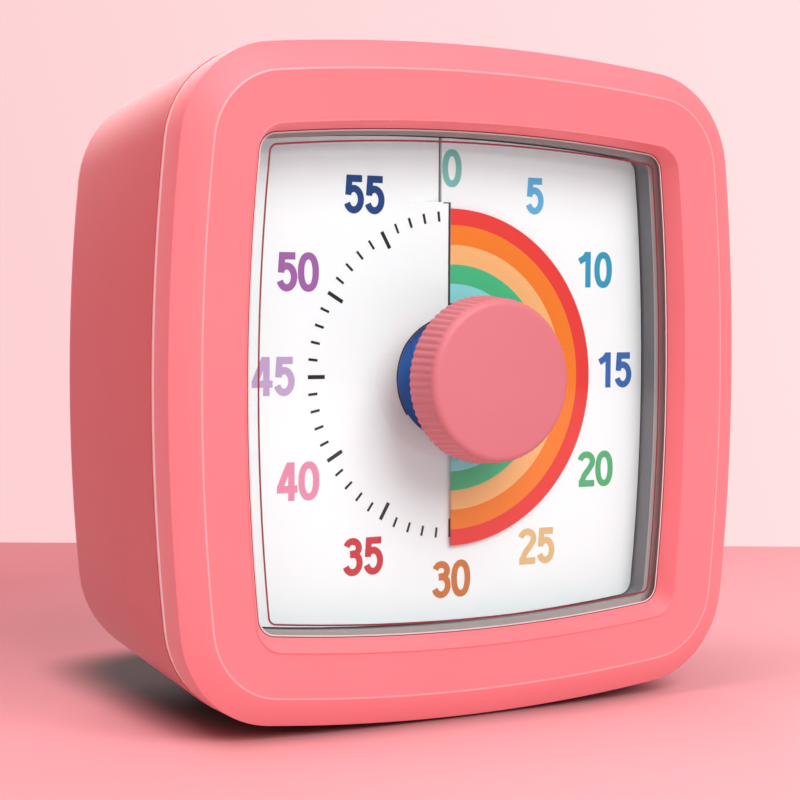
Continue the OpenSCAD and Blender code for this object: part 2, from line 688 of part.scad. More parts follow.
module drive_wheel() color("#F4EFE2") at_dial() difference() {
    toothed(drive_teeth, drive_module, third_angle, drive_front, drive_back);
    rod(shaft_r + run_gap, drive_front - 1, drive_back + 1);
    for (a = [30:60:330]) rod(1.6, drive_front - 1, drive_back + 1, 6.4 * cos(a), 6.4 * sin(a));
}

module arbor(y_end) {
    rod(arbor_r, gears_front + face_gap, y_end);
    rod(pivot_r, gears_front - plate_t * 0.7, gears_front + face_gap + eps);
}
module wheel_and_pinion(at, wheel_teeth, wheel_m, wheel_phase, wheel_y, pinion_m, pinion_phase, pinion_y0)
    at_dial() translate([at[0], 0, at[1]]) union() {
        difference() {
            toothed(wheel_teeth, wheel_m, wheel_phase, wheel_y, wheel_y + wheel_t);
            rod(arbor_r - eps, wheel_y - 1, wheel_y + wheel_t + 1);
        }
        toothed(pinion_teeth, pinion_m, pinion_phase, pinion_y0, wheel_y + eps);
        arbor(gears_back - face_gap);
        rod(pivot_r, gears_back - face_gap - eps, gears_back + plate_t * 0.7);
    }
module third_wheel() color("#E8E0C8") wheel_and_pinion(third_at, third_teeth, third_module, second_angle,
    third_y, drive_module, gap_phase(third_angle), drive_front - pinion_reach);
module second_wheel() color("#F4EFE2") wheel_and_pinion(second_at, second_teeth, second_module, first_angle,
    second_y, third_module, gap_phase(second_angle), third_y - pinion_reach);
module first_wheel() color("#E8E0C8") wheel_and_pinion(first_at, first_teeth, first_module, rotor_angle,
    first_y, second_module, gap_phase(first_angle), second_y - pinion_reach);
module rotor_pinion() color("#F4EFE2") at_dial() translate([rotor_at[0], 0, rotor_at[1]]) union() {
    toothed(pinion_teeth, first_module, gap_phase(rotor_angle), first_y - pinion_reach, magnet_y);
    arbor(magnet_y);
    rod(arbor_r, magnet_y - eps, gears_back - face_gap);
    rod(pivot_r, gears_back - face_gap - eps, gears_back + plate_t * 0.7);
}
module rotor_magnet() color("#6E7176") at_dial() translate([rotor_at[0], 0, rotor_at[1]]) difference() {
    rod(magnet_r, magnet_y, magnet_y + magnet_t);
    rod(arbor_r + press_gap, magnet_y - 1, magnet_y + magnet_t + 1);
}

case_mid = (case_low + case_high) / 2;
case_h = case_high - case_low;
case_split = (gears_front + gears_back) / 2;
case_corner_r = 3;
pivots_at = [third_at, second_at, first_at, rotor_at];
module case_outline(by) translate([0, case_mid])
    polygon(rounded_rect(case_w - 2 * by, case_h - 2 * by, case_corner_r - by));

module movement_front() color("#EDEDEF") at_dial() difference() {
    union() {
        slab(floor_back, gears_front) case_outline(0);
        slab(gears_front - eps, case_split) difference() {
            case_outline(0);
            case_outline(case_wall);
        }
        rod(shaft_r + 1.2, floor_back - floor_t + 0.3, floor_back + eps);
    }
    rod(shaft_r + run_gap, 0, gears_front + 1);
    for (p = pivots_at) rod(pivot_r + run_gap, floor_back + 0.2, gears_front + 1, p[0], p[1]);
    for (p = movement_screw_at) rod(0.8, floor_back - 1, gears_front + 1, p[0], p[1]);
}

module movement_back() color("#EDEDEF") at_dial() difference() {
    union() {
        slab(gears_back, movement_end) case_outline(0);
        slab(case_split, gears_back + eps) difference() {
            case_outline(0);
            case_outline(case_wall);
        }
        for (p = board_screw_at) rod(1.6, movement_end - eps, board_front, p[0], p[1]);
    }
    rod(tail_r + run_gap, gears_back - 1, movement_end + 1);
    for (p = pivots_at) rod(pivot_r + run_gap, gears_back - 1, movement_end - 0.2, p[0], p[1]);
    for (p = board_screw_at) rod(0.6, gears_back + 0.3, board_front + 1, p[0], p[1]);
}

// Stator: a ring round the rotor and a leg to each end of the coil's core
bobbin_flange = 0.4;
coil_gap = 1.1;
coil_x = case_w / 2 - case_wall - coil_gap - bobbin_flange - coil_r;
coil_z = 4;
core_w = 2.2;
stator_r = mesh_distance(first_teeth, first_module) - arbor_r - 0.4;
leg_room = 3.4;
core_top = coil_z + coil_l / 2 + leg_room;
core_low = coil_z - coil_l / 2 - leg_room;
module strap(a, b) translate(a) rotate(atan2(b[1] - a[1], b[0] - a[0])) translate([0, -core_w / 2])
    square([norm(b - a), core_w]);
module stator() color("#9DA1A8") at_dial() slab(stator_y, stator_y + stator_t) difference() {
    union() {
        translate(rotor_at) circle(r = stator_r);
        strap(rotor_at + [2, 1.4], [coil_x, core_top - core_w / 2]);
        strap(rotor_at + [1.4, -2], [coil_x - 6, core_low + core_w / 2]);
        strap([coil_x - 6.4, core_low + core_w / 2], [coil_x, core_low + core_w / 2]);
        translate([coil_x - core_w / 2, core_low]) square([core_w, core_top - core_low]);
    }
    translate(rotor_at) circle(r = magnet_r + 0.4);
}
bobbin_r = coil_r - 0.6;
module at_coil() at_dial() translate([coil_x, stator_y + stator_t / 2, coil_z]) children();
module coil_bobbin() color("#3F7F58") at_coil() difference() {
    union() {
        cylinder(r = bobbin_r, h = coil_l, center = true);
        for (s = [-1, 1]) translate([0, 0, s * (coil_l / 2 + bobbin_flange)])
            cube(2 * [coil_r + bobbin_flange, coil_r + 0.1, bobbin_flange], center = true);
    }
    cube([core_w + 0.1, stator_t + 0.1, coil_l + 4], center = true);
}
module coil_winding() color("#B5622D") at_coil() difference() {
    cylinder(r = coil_r, h = coil_l, center = true);
    cylinder(r = bobbin_r + press_gap, h = coil_l + 1, center = true);
}

/* ---- Board, sound and switch ---- */

board_w = 36;
board_low = bay_high + bay_wall + 0.3 - dial_rise;
board_high = 21;
tail_y = (board_front + board_back) / 2;
board_end = bay_x - contact_t;
ear_h = 3;
tail_top = board_low + dial_rise + ear_h - 0.2;
board_screw_at = [[-13, 3], [13, -6], [0, 18]];
module circuit_board() color("#2F7D4F") at_dial() difference() {
    slab(board_front, board_back) union() {
        translate([0, (board_low + board_high) / 2]) square([board_w, board_high - board_low], center = true);
        translate([-board_end, board_low]) square([2 * board_end, ear_h]);
    }
    rod(tail_r + 0.6, board_front - 1, board_back + 1);
    for (p = board_screw_at) rod(0.8, board_front - 1, board_back + 1, p[0], p[1]);
}
module board_screws() color("#B9BCC2") at_dial() for (p = board_screw_at)
    screw(p[0], p[1], board_back, gears_back + 0.5, 0.55, 1.4, 0.8);

chip_z = -9;
crystal_r = 1;
crystal_l = 6;
module quartz_crystal() color("#D5D8DC") at_dial() translate([-crystal_l, board_back + crystal_r, chip_z])
    rotate([0, 90, 0]) {
        cylinder(r = crystal_r, h = crystal_l);
        translate([0, 0, crystal_l - eps]) cylinder(r = crystal_r - 0.3, h = crystal_r / 2);
    }
// A drop of resin over the chip: a slice off a larger ball
chip_r = 4;
chip_ball_r = 5;
module timer_chip() color("#26282B") at_dial() intersection() {
    translate([chip_r + 1, board_back - sqrt(pow(chip_ball_r, 2) - pow(chip_r, 2)), chip_z])
        sphere(r = chip_ball_r);
    rod(chip_r, board_back, board_back + chip_r, chip_r + 1, chip_z);
}
module zero_contact() color("#C8A046") at_dial() {
    box(-6.2, -4.2, board_back, board_back + 0.3, -5.4, -3.4);
    box(-4.2 - eps, -3.9, board_back, cam_back, -5.4, -3.4);
    box(-3.9 - eps, 1, cam_front, cam_back - 0.2, -4.6, -4.3);
}

buzzer_back = shell_back_inner - 0.5;
module buzzer() color("#2B2C2F") translate([sound_at[0], 0, sound_at[1]]) difference() {
    rod(buzzer_r, board_back, buzzer_back);
    rod(1.2, buzzer_back - 1.2, buzzer_back + 1);
}

switch_body_t = 3.4;
lever_w = 1.6;
slider_front = shell_back_inner - face_gap / 2 - slider_t;
module switch_case() color("#3A3D42") translate([switch_at[0], 0, switch_at[1]]) difference() {
    box(-5, 5, board_back, board_back + switch_body_t, -1.9, 1.9);
    box(-lever_w / 2 - switch_travel / 2 - 0.1, lever_w / 2 + switch_travel / 2 + 0.1, board_back + 1.2,
        board_back + switch_body_t + 1, -0.8 - 0.1, 0.8 + 0.1);
}
lever_x = -switch_travel / 2;
module switch_lever() color("#EDEDEF") translate([switch_at[0] + lever_x, 0, switch_at[1]])
    box(-lever_w / 2, lever_w / 2, board_back + 1.3, slider_front - 0.4, -0.8, 0.8);
module volume_slider() color("#F2F2F2") translate([switch_at[0] + lever_x, 0, switch_at[1]]) union() {
    box(-slider_l / 2, slider_l / 2, slider_front, slider_front + slider_t,
        -slot_w / 2 - slider_lap, slot_w / 2 + slider_lap);
    for (s = [-1, 1]) box(s * (lever_w / 2 + 0.55) - 0.5, s * (lever_w / 2 + 0.55) + 0.5,
        slider_front - 2.2, slider_front + eps, -1.2, 1.2);
    box(-thumb_w / 2, thumb_w / 2, slider_front + slider_t - eps, body_depth + 0.1, -slot_w / 2 + 0.15,
        slot_w / 2 - 0.15);
    for (x = [-thumb_w / 2 + 0.4:0.8:thumb_w / 2]) box(x - 0.2, x + 0.2, body_depth, body_depth + thumb_out,
        -slot_w / 2 + 0.15, slot_w / 2 - 0.15);
}

/* ---- Battery ---- */

button_l = 1.2;
cell_x0 = bay_x - 0.15 - contact_t - cell_l;
module battery_cell() color("#B8BEC6") translate([cell_x0, cell_y, cell_z]) rotate([0, 90, 0])
    rotate_extrude() polygon([[0, 0], [cell_r - 0.6, 0], [cell_r, 0.5], [cell_r, cell_l - button_l - 0.6],
        [cell_r - 0.5, cell_l - button_l], [2.75, cell_l - button_l], [2.75, cell_l - 0.2], [2.5, cell_l],
        [0, cell_l]]);

// A sheet against the bay's end wall. Its tail rises through the bay's roof and meets the board's edge.
module contact(s) let (x = s > 0 ? bay_x - contact_t : -bay_x, tail_mid = contact_front + tail_w / 2) {
    box(x, x + contact_t, contact_front, contact_front + contact_w, cell_z - contact_w / 2, bay_high - 0.1);
    box(x, x + contact_t, contact_front, contact_front + tail_w, bay_high - tail_w, tail_top);
    box(x, x + contact_t, min(tail_y, tail_mid) - tail_w / 2, max(tail_y, tail_mid) + tail_w / 2,
        bay_high + bay_wall + 0.1, tail_top);
}
module contact_plus() color("#C9CCD1") contact(1);
module contact_minus() color("#C9CCD1") contact(-1);

// Conical coil spring: a wire swept along a widening helix
spring_turns = 3;
wire_r = 0.3;
spring_r = cell_r - 2.5;
spring_len = cell_x0 - 0.05 + bay_x - contact_t;
spring_steps = 14 * spring_turns;
function spring_centre(i) = let (t = i / spring_steps, a = 360 * spring_turns * t, r = spring_r - 1.8 * t)
    [-bay_x + contact_t + wire_r + 0.02 + (spring_len - 2 * wire_r - 0.04) * t, r * cos(a), r * sin(a)];
module battery_spring() color("#D5D8DC") translate([0, cell_y, cell_z]) {
    n = 8;
    polyhedron(
        points = [for (i = [0:spring_steps])
            let (c = spring_centre(i), a = 360 * spring_turns * i / spring_steps)
            for (k = [0:n - 1]) let (b = 360 * k / n)
                [c[0] + wire_r * sin(b), c[1] + wire_r * cos(b) * cos(a), c[2] + wire_r * cos(b) * sin(a)]],
        faces = concat(
            [[for (k = [0:n - 1]) k]],
            [for (i = [0:spring_steps - 1]) for (k = [0:n - 1]) let (j = (k + 1) % n)
                each [[i * n + k, (i + 1) * n + k, (i + 1) * n + j],
                    [i * n + k, (i + 1) * n + j, i * n + j]]],
            [[for (k = [n - 1:-1:0]) spring_steps * n + k]]));
}

latch_w = 10;
latch_l = 5;
module battery_door() color("#E97078") difference() {
    union() {
        slab(door_front, door_back) door_shape(door_axis_z, 0);
        translate([0, door_axis_y, door_axis_z]) rotate([0, 90, 0])
            cylinder(r = door_t / 2, h = 2 * door_x, center = true);
        translate([0, door_axis_y, door_axis_z]) rotate([0, 90, 0])
            cylinder(r = peg_r, h = 2 * (door_x + peg_l), center = true);
    }
    // the latch tongue is cut free at both sides
    for (s = [-1, 1]) box(s * latch_w / 2 - 0.4, s * latch_w / 2 + 0.4, door_front - 1, door_back + 1,
        door_high - latch_l, door_high + 1);
    // grip grooves on the latch
    for (i = [1:3]) let (z = door_high - i * 1.3)
        box(-latch_w / 2 + 1.4, latch_w / 2 - 1.4, door_back - 0.35, door_back + 1, z - 0.3, z + 0.3);
}

place() front_bezel();
place() lens();
place() inner_frame();
place() dial_plate();
place() rear_shell();
place() feet();
place() housing_screws();
place() bezel_screws();
place() movement_screws();
place() knob();
place() output_shaft();
place() disc_hub();
place() disc_washer();
place() colour_disc();
place() clutch_spring();
place() zero_cam();
place() movement_front();
place() movement_back();
place() drive_wheel();
place() third_wheel();
place() second_wheel();
place() first_wheel();
place() rotor_magnet();
place() rotor_pinion();
place() stator();
place() coil_bobbin();
place() coil_winding();
place() circuit_board();
place() board_screws();
place() quartz_crystal();
place() timer_chip();
place() zero_contact();
place() buzzer();
place() switch_case();
place() switch_lever();
place() volume_slider();
place() battery_cell();
place() contact_plus();
place() contact_minus();
place() battery_spring();
place() battery_door();
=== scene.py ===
import json
import math

import bmesh
import bpy
import numpy as np
from mathutils import Matrix, Vector


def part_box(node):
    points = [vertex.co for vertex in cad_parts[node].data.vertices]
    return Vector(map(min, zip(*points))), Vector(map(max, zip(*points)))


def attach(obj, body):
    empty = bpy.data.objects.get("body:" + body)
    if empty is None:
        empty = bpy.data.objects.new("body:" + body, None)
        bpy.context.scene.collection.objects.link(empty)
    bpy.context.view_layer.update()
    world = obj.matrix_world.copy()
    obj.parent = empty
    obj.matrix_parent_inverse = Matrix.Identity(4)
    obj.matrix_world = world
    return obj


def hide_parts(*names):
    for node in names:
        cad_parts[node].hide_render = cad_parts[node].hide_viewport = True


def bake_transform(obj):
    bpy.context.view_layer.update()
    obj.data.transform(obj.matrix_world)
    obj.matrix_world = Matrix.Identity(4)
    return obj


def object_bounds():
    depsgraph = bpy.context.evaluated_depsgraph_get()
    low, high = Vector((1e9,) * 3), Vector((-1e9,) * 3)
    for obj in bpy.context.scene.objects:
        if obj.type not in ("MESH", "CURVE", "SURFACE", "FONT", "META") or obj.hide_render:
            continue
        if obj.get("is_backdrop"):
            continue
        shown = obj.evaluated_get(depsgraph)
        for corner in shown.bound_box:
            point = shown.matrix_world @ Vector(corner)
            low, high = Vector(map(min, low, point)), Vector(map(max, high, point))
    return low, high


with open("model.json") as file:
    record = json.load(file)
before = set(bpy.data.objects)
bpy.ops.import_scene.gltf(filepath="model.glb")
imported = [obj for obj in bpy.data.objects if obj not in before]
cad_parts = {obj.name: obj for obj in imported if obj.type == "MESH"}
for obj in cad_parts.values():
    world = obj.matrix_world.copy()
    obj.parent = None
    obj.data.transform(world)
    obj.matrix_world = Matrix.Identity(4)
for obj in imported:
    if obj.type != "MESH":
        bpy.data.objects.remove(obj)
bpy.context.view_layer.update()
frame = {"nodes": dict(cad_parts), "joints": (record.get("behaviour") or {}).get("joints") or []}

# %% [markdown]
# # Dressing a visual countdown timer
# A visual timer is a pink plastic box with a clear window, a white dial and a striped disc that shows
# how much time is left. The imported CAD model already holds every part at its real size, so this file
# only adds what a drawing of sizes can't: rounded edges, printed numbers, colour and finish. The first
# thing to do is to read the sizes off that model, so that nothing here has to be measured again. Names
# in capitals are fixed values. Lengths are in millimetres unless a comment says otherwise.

MM = 0.001
CLEAR = 0.02  # keeps two faces from lying in one plane
WELD = 0.001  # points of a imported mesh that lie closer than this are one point
bezel_low, bezel_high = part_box("front_bezel")
FRONT_Y = bezel_low.y / MM
CENTRE_Z = (bezel_low.z + bezel_high.z) / 2 / MM
HALF = (bezel_high.x - bezel_low.x) / 2 / MM
knob_turn = next(joint for joint in frame["joints"] if joint["name"] == "knob_turn")
DIAL_RISE = knob_turn["pos_m"][2] / MM - CENTRE_Z


def place(x, depth, z):
    """A point given in millimetres from the middle of the bezel's front plane, as metres in the frame."""
    return Vector((x * MM, (FRONT_Y + depth) * MM, (CENTRE_Z + z) * MM))


print(f"body {2 * HALF:.1f} mm square, its front at y {FRONT_Y:.2f} mm, its centre {CENTRE_Z:.1f} mm up")

# %% [markdown]
# ## Small helpers for finishes
# A paint or plastic is matched as an sRGB hex code, but a shader adds up light and wants linear
# numbers. One function does that change for the whole file. A second one adds a node with its settings
# and its links, which is all that a procedural material is made of. The short ones after it are the
# nodes that every finish here asks for: a sum, a change of range, a mix of two colours and a noise
# whose size is given in millimetres.

# %% Helpers for materials
UNIT = (0.0, 1.0)


def colour(code):
    """An sRGB hex code as linear red, green, blue and alpha."""
    parts = [int(code[i:i + 2], 16) / 255 for i in (1, 3, 5)]
    return tuple(c / 12.92 if c <= 0.04045 else ((c + 0.055) / 1.055) ** 2.4 for c in parts) + (1.0,)


def add(tree, kind, inputs=None, **settings):
    """Adds one node. inputs gives each socket a plain value, or the output that is linked to it."""
    node = tree.nodes.new(kind)
    for name, value in settings.items():
        setattr(node, name, value)
    for socket, value in (inputs or {}).items():
        if isinstance(value, bpy.types.NodeSocket):
            tree.links.new(value, node.inputs[socket])
        else:
            node.inputs[socket].default_value = value
    return node


def calculate(tree, operation, *values):
    """The result of a math node."""
    return add(tree, "ShaderNodeMath", dict(enumerate(values)), operation=operation).outputs[0]


def vector_math(tree, operation, first, second):
    """The result of a vector math node: a value for a dot product, and a vector for the others."""
    node = add(tree, "ShaderNodeVectorMath", {0: first, 1: second}, operation=operation)
    return node.outputs["Value" if operation == "DOT_PRODUCT" else "Vector"]


def remapped(tree, value, source, target=UNIT, **settings):
    """A value carried over from the range source to the range target, and kept within it."""
    ends = {"From Min": source[0], "From Max": source[1], "To Min": target[0], "To Max": target[1]}
    return add(tree, "ShaderNodeMapRange", {"Value": value, **ends}, **settings).outputs["Result"]


def blended(tree, share, first, second):
    """A mix of two colours: all first where share is 0, all second where it is 1."""
    mix = add(tree, "ShaderNodeMix", {"Factor": share, "A": first, "B": second}, data_type="RGBA")
    return mix.outputs["Result"]


def noise(tree, where, size_mm, detail, **inputs):
    """Noise with lumps of about size_mm, as a value from 0 to 1."""
    basics = {"Vector": where, "Scale": 1 / (size_mm * MM), "Detail": detail}
    return add(tree, "ShaderNodeTexNoise", {**basics, **inputs}).outputs["Fac"]


def finish(name, **constants):
    """A new material with a Principled shader whose plain values are set on its own sockets."""
    material = bpy.data.materials.new(name)
    material.use_nodes = True
    shader = material.node_tree.nodes["Principled BSDF"]
    for socket, value in constants.items():
        shader.inputs[socket.replace("_", " ")].default_value = value
    return material, material.node_tree, shader


def tint(tree, shader, code, shift):
    """Gives the shader the colour of a hex code, whose brightness is multiplied by shift."""
    tone = add(tree, "ShaderNodeHueSaturation", {"Color": colour(code), "Value": shift})
    tree.links.new(tone.outputs["Color"], shader.inputs["Base Color"])


print("helpers ready; mid grey #808080 is", round(colour("#808080")[0], 3), "in linear light")

# %% [markdown]
# ## Moulded ABS
# The housing and the knob are injection-moulded ABS, a tough opaque plastic with an IOR of about 1.54.
# The steel mould is spark-eroded, which leaves a fine even grain of a few tenths of a millimetre, so
# the surface has a soft satin sheen and no mirror image. The melt also flows a little unevenly, which
# shows as a very faint drift in tone across a part. Both are noise textures here: one small and
# used as bump and roughness, one large and used to shift the colour by a percent or two.

# %% A maker of moulded plastic
FLOW_MM, FLOW_RANGE = 18, (0.3, 0.7)
SPARK_DEPTH, SPARK_SHEEN = 0.02, 0.06


def moulded_plastic(name, code, grain_mm=0.35, grain=0.16, roughness=0.45, drift=0.02, ior=1.54, gloss=0.5):
    """Satin moulded plastic: grain_mm is the size of the mould's texture and grain its strength."""
    material, tree, shader = finish(name, IOR=ior, Specular_IOR_Level=gloss)
    where = add(tree, "ShaderNodeTexCoord").outputs["Object"]
    flow = noise(tree, where, FLOW_MM, 2.0)
    tint(tree, shader, code, remapped(tree, flow, FLOW_RANGE, (1 - drift, 1 + drift)))
    spark = noise(tree, where, grain_mm, 3.0, Roughness=0.55)
    sheen = remapped(tree, spark, UNIT, (roughness - SPARK_SHEEN, roughness + SPARK_SHEEN))
    tree.links.new(sheen, shader.inputs["Roughness"])
    bump = add(tree, "ShaderNodeBump", {"Strength": grain, "Distance": SPARK_DEPTH * MM, "Height": spark})
    tree.links.new(bump.outputs["Normal"], shader.inputs["Normal"])
    return material


pink_abs = moulded_plastic("moulded ABS, pink", "#FC7A81", gloss=0.35)
deep_pink_abs = moulded_plastic("moulded ABS, deep pink", "#DC5158", gloss=0.3)
# a lighter pink for the crease's rounding: a painted highlight
crease_highlight_abs = moulded_plastic("moulded ABS, pink, painted crease highlight", "#FF9DA2", grain=0.05, roughness=0.3)
knob_abs = moulded_plastic("moulded ABS, rose, coarser grain", "#D66F78", grain_mm=0.5, grain=0.3,
                           roughness=0.5)
white_abs = moulded_plastic("moulded ABS, cool white", "#E6E8EB", roughness=0.38)
# its tray walls get painted shade and its rim a painted highlight in the next cell
frame_abs = moulded_plastic("moulded ABS, tray grey with a bright plated rim", "#E6E8EB", roughness=0.32)
acetal = moulded_plastic("moulded acetal, natural", "#EFE9DA", grain_mm=0.6, grain=0.05, roughness=0.35,
                         ior=1.48)
black_abs = moulded_plastic("moulded ABS, black", "#2A2B2E")
green_nylon = moulded_plastic("moulded nylon, green", "#3F7F58", ior=1.53)
blue_abs = moulded_plastic("moulded ABS, blue", "#3E5FA8")
print("moulded plastics:", pink_abs.name, "|", knob_abs.name, "|", white_abs.name)

# %% [markdown]
# ## One moulding, with painted shade in its tray and a painted highlight on its rim
# The inner frame is one part with two jobs. Its middle is a tray, whose walls are painted grey behind the
# window as painted shade, and its outer rim comes out in the seam between bezel and shell as a thin bright
# line. Such a rim gets a thin metal plating, so it is given half of the metallic look, and a pale pink tone
# as a painted highlight. A material can tell the places apart by how far they lie from the timer's middle.
# The tray's upper wall faces down, away from the lamps, so its painted shade is a lighter grey than that
# of the other three, which evens them out.

# %% Paint shade into the tray and a highlight onto the plated rim
TRAY_REACH, RIM_REACH = 31.5, HALF - 7.0
PLATING = 0.5


def tray_and_rim(material):
    """Paints shade as grey into the walls within TRAY_REACH of the middle, and plates what lies outside
    RIM_REACH with a painted highlight.
    """
    tree = material.node_tree
    shader = tree.nodes["Principled BSDF"]
    where = add(tree, "ShaderNodeTexCoord").outputs["Object"]
    axes = add(tree, "ShaderNodeSeparateXYZ", {"Vector": where}).outputs
    rise = calculate(tree, "SUBTRACT", axes["Z"], CENTRE_Z * MM)
    across = calculate(tree, "ABSOLUTE", axes["X"])
    reach = calculate(tree, "MAXIMUM", across, calculate(tree, "ABSOLUTE", rise))
    in_tray = calculate(tree, "LESS_THAN", reach, TRAY_REACH * MM)
    on_top = calculate(tree, "GREATER_THAN", rise, across)
    on_rim = calculate(tree, "GREATER_THAN", reach, RIM_REACH * MM)
    # painted shade: the tray's walls are grey, the upper one a lighter grey as it faces away from the lamps
    wall = blended(tree, on_top, colour("#76767A"), colour("#A2A2A4"))
    moulded = shader.inputs["Base Color"].links[0].from_socket
    # painted highlight: the rim's pale pink tone
    tone = blended(tree, on_rim, blended(tree, in_tray, moulded, wall), colour("#FFD8D6"))
    tree.links.new(tone, shader.inputs["Base Color"])
    tree.links.new(calculate(tree, "MULTIPLY", on_rim, PLATING), shader.inputs["Metallic"])


tray_and_rim(frame_abs)
print(f"tray up to {TRAY_REACH} mm from the middle, plated rim from {RIM_REACH:.1f} mm")

# %% [markdown]
# ## The clear window
# The window is moulded from clear acrylic with a polished surface, IOR 1.49. A flat window less than two
# millimetres thick bends nothing that the eye can see: it only moves what is behind it by half a
# millimetre. So the light may as well go straight through, which also keeps the dial free of the noise
# that light through real glass brings. What is left of the glass is its shine: a Fresnel node says how
# much of the light each angle mirrors. Only the front faces get it, because for the back faces the same
# node would give the strong mirror of a ray that leaves the glass.

# %% Clear moulded acrylic


def clear_plastic(name, code, ior=1.49, roughness=0.03):
    """Thin clear plastic: straight through, with the mirror image that its IOR gives at each angle."""
    material = bpy.data.materials.new(name)
    material.use_nodes = True
    tree = material.node_tree
    tree.nodes.clear()
    through = add(tree, "ShaderNodeBsdfTransparent", {"Color": colour(code)})
    mirror = add(tree, "ShaderNodeBsdfGlossy", {"Color": (1.0, 1.0, 1.0, 1.0), "Roughness": roughness})
    fresnel = add(tree, "ShaderNodeFresnel", {"IOR": ior})
    facing = calculate(tree, "SUBTRACT", 1.0, add(tree, "ShaderNodeNewGeometry").outputs["Backfacing"])
    share = calculate(tree, "MULTIPLY", fresnel.outputs["Fac"], facing)
    mix = add(tree, "ShaderNodeMixShader", {0: share, 1: through.outputs[0], 2: mirror.outputs[0]})
    add(tree, "ShaderNodeOutputMaterial", {"Surface": mix.outputs[0]})
    return material


clear_acrylic = clear_plastic("moulded acrylic, clear and polished", "#FEFEFE")
# painted reflection and painted shadow: the dark red of the hairline and of the join to the bezel
painted_refraction_and_shadow = moulded_plastic("painted refraction and shadow, dark red", "#8A2830", grain=0.02, roughness=0.3,
                              ior=1.49)
# painted highlight on the window's rim
painted_rim_highlight = moulded_plastic("painted rim highlight, pale", "#D8D0D0", grain=0.02, roughness=0.2,
                              ior=1.49)
# painted shade: the grey of the border where the tray rim lies dim
painted_border_shade = moulded_plastic("grey border, painted shade", "#B4B4B0", grain=0.02, roughness=0.6)
print("window finish:", clear_acrylic.name)

# %% [markdown]
# ## Printed ink, film and rubber
# The dial is a white plastic plate with screen-printed ink, and the disc is a printed film. Ink lies
# matt and very even, with a faint mottle where the screen's mesh was. A coarse mesh has about 4 threads
# to the millimetre, so the mottle is drawn at 0.25 mm. Ink is powdery and mirrors less than bare
# plastic, so its specular level is half of the usual 0.5. Rubber is darker, rougher and has no sheen.

# %% Printed, rubber, metal and board finishes
SCRATCH_STRETCH = (1.0, 0.12, 1.0)


def printed(name, code, mottle_mm=0.25, roughness=0.6, drift=0.03):
    """Matt screen-printed ink with a faint mottle at the pitch of the screen's mesh."""
    material, tree, shader = finish(name, Roughness=roughness, IOR=1.5, Specular_IOR_Level=0.25)
    where = add(tree, "ShaderNodeTexCoord").outputs["Object"]
    mesh = noise(tree, where, mottle_mm, 1.0)
    tint(tree, shader, code, remapped(tree, mesh, UNIT, (1 - drift, 1 + drift)))
    return material


def metal(name, code, roughness=0.3, scratch_mm=0.2):
    """Bare or plated metal with fine rolled or turned scratches that break up its roughness."""
    material, tree, shader = finish(name, Metallic=1.0, Base_Color=colour(code))
    where = add(tree, "ShaderNodeTexCoord").outputs["Object"]
    longer = add(tree, "ShaderNodeMapping", {"Vector": where, "Scale": SCRATCH_STRETCH})
    lines = noise(tree, longer.outputs["Vector"], scratch_mm, 2.0)
    sheen = remapped(tree, lines, UNIT, (roughness - 0.1, roughness + 0.12))
    tree.links.new(sheen, shader.inputs["Roughness"])
    return material


dial_white = printed("screen-printed plate, white", "#F5FBFB", roughness=0.5, drift=0.01)
ink_black = printed("screen-printed ink, black", "#1A1A1C")
# painted shadow for the dial's cut edges
painted_cut_shadow = printed("painted shadow along the die-cut edges", "#3A3A40")
foot_rubber = moulded_plastic("moulded rubber, dark", "#4A4446", grain_mm=0.4, grain=0.4, roughness=0.85,
                              ior=1.52)
zinc_steel = metal("zinc-plated steel", "#C4C7CC", 0.35)
nickel_steel = metal("nickel-plated spring steel", "#D2D3D5", 0.25)
spring_brass = metal("stamped spring brass", "#D9B65A", 0.3)
soft_iron = metal("stamped soft iron", "#9A9DA2", 0.4)
copper = metal("enamelled copper wire", "#C26A3A", 0.3, scratch_mm=0.12)
ferrite = moulded_plastic("sintered ferrite", "#3E4044", grain_mm=0.2, grain=0.4, roughness=0.6)
solder_mask = moulded_plastic("solder mask on fibreglass", "#2A7A4A", grain_mm=1.2, grain=0.1,
                              roughness=0.25)
black_resin = moulded_plastic("potting resin, black", "#1D1E20", grain=0.05, roughness=0.18)
cell_wrap = moulded_plastic("shrink-wrapped cell, plain grey", "#AEB4BC", grain=0.03, roughness=0.28)
print("other finishes:", len(bpy.data.materials), "materials in all")

# %% [markdown]
# ## A bulged square, and a skin through a stack of them
# Seen from the front, every edge of this housing is the same figure at another size: four shallow arcs
# joined by four tight corner arcs. The two arcs meet without a kink when the corner's centre lies on
# the line from the side's centre to the joint. With that figure as a function, the bezel is a loft: a
# list of such outlines at rising depth, skinned with quads. The CAD part is built from the same figure
# with fewer steps, so this skin covers it exactly and only adds smoothness.

# %% The bulged outline


def outline(half, corner, bulge, drop=0.0, side_steps=28, corner_steps=18):
    """Points [x, z] in millimetres round a square with bulged sides; drop lowers the whole figure."""
    centre = half - bulge
    knee = (centre + math.sqrt(2 * (bulge - corner) ** 2 - centre ** 2)) / 2
    reach = math.asin(knee / (bulge - corner))
    side = np.linspace(-reach, reach, side_steps, endpoint=False)
    turn = np.linspace(reach, math.pi / 2 - reach, corner_steps, endpoint=False)
    quarter = np.concatenate([
        np.stack([centre + bulge * np.cos(side), bulge * np.sin(side)], 1),
        np.stack([knee + corner * np.cos(turn), knee + corner * np.sin(turn)], 1)])
    quarters = [quarter]
    for _ in range(3):
        quarters.append(np.stack([-quarters[-1][:, 1], quarters[-1][:, 0]], 1))
    return np.concatenate(quarters) - (0.0, drop)


def inset(line, by):
    """The outline that lies by millimetres inside line."""
    half, corner, bulge, drop = line
    return half - by, corner - by, bulge - by, drop


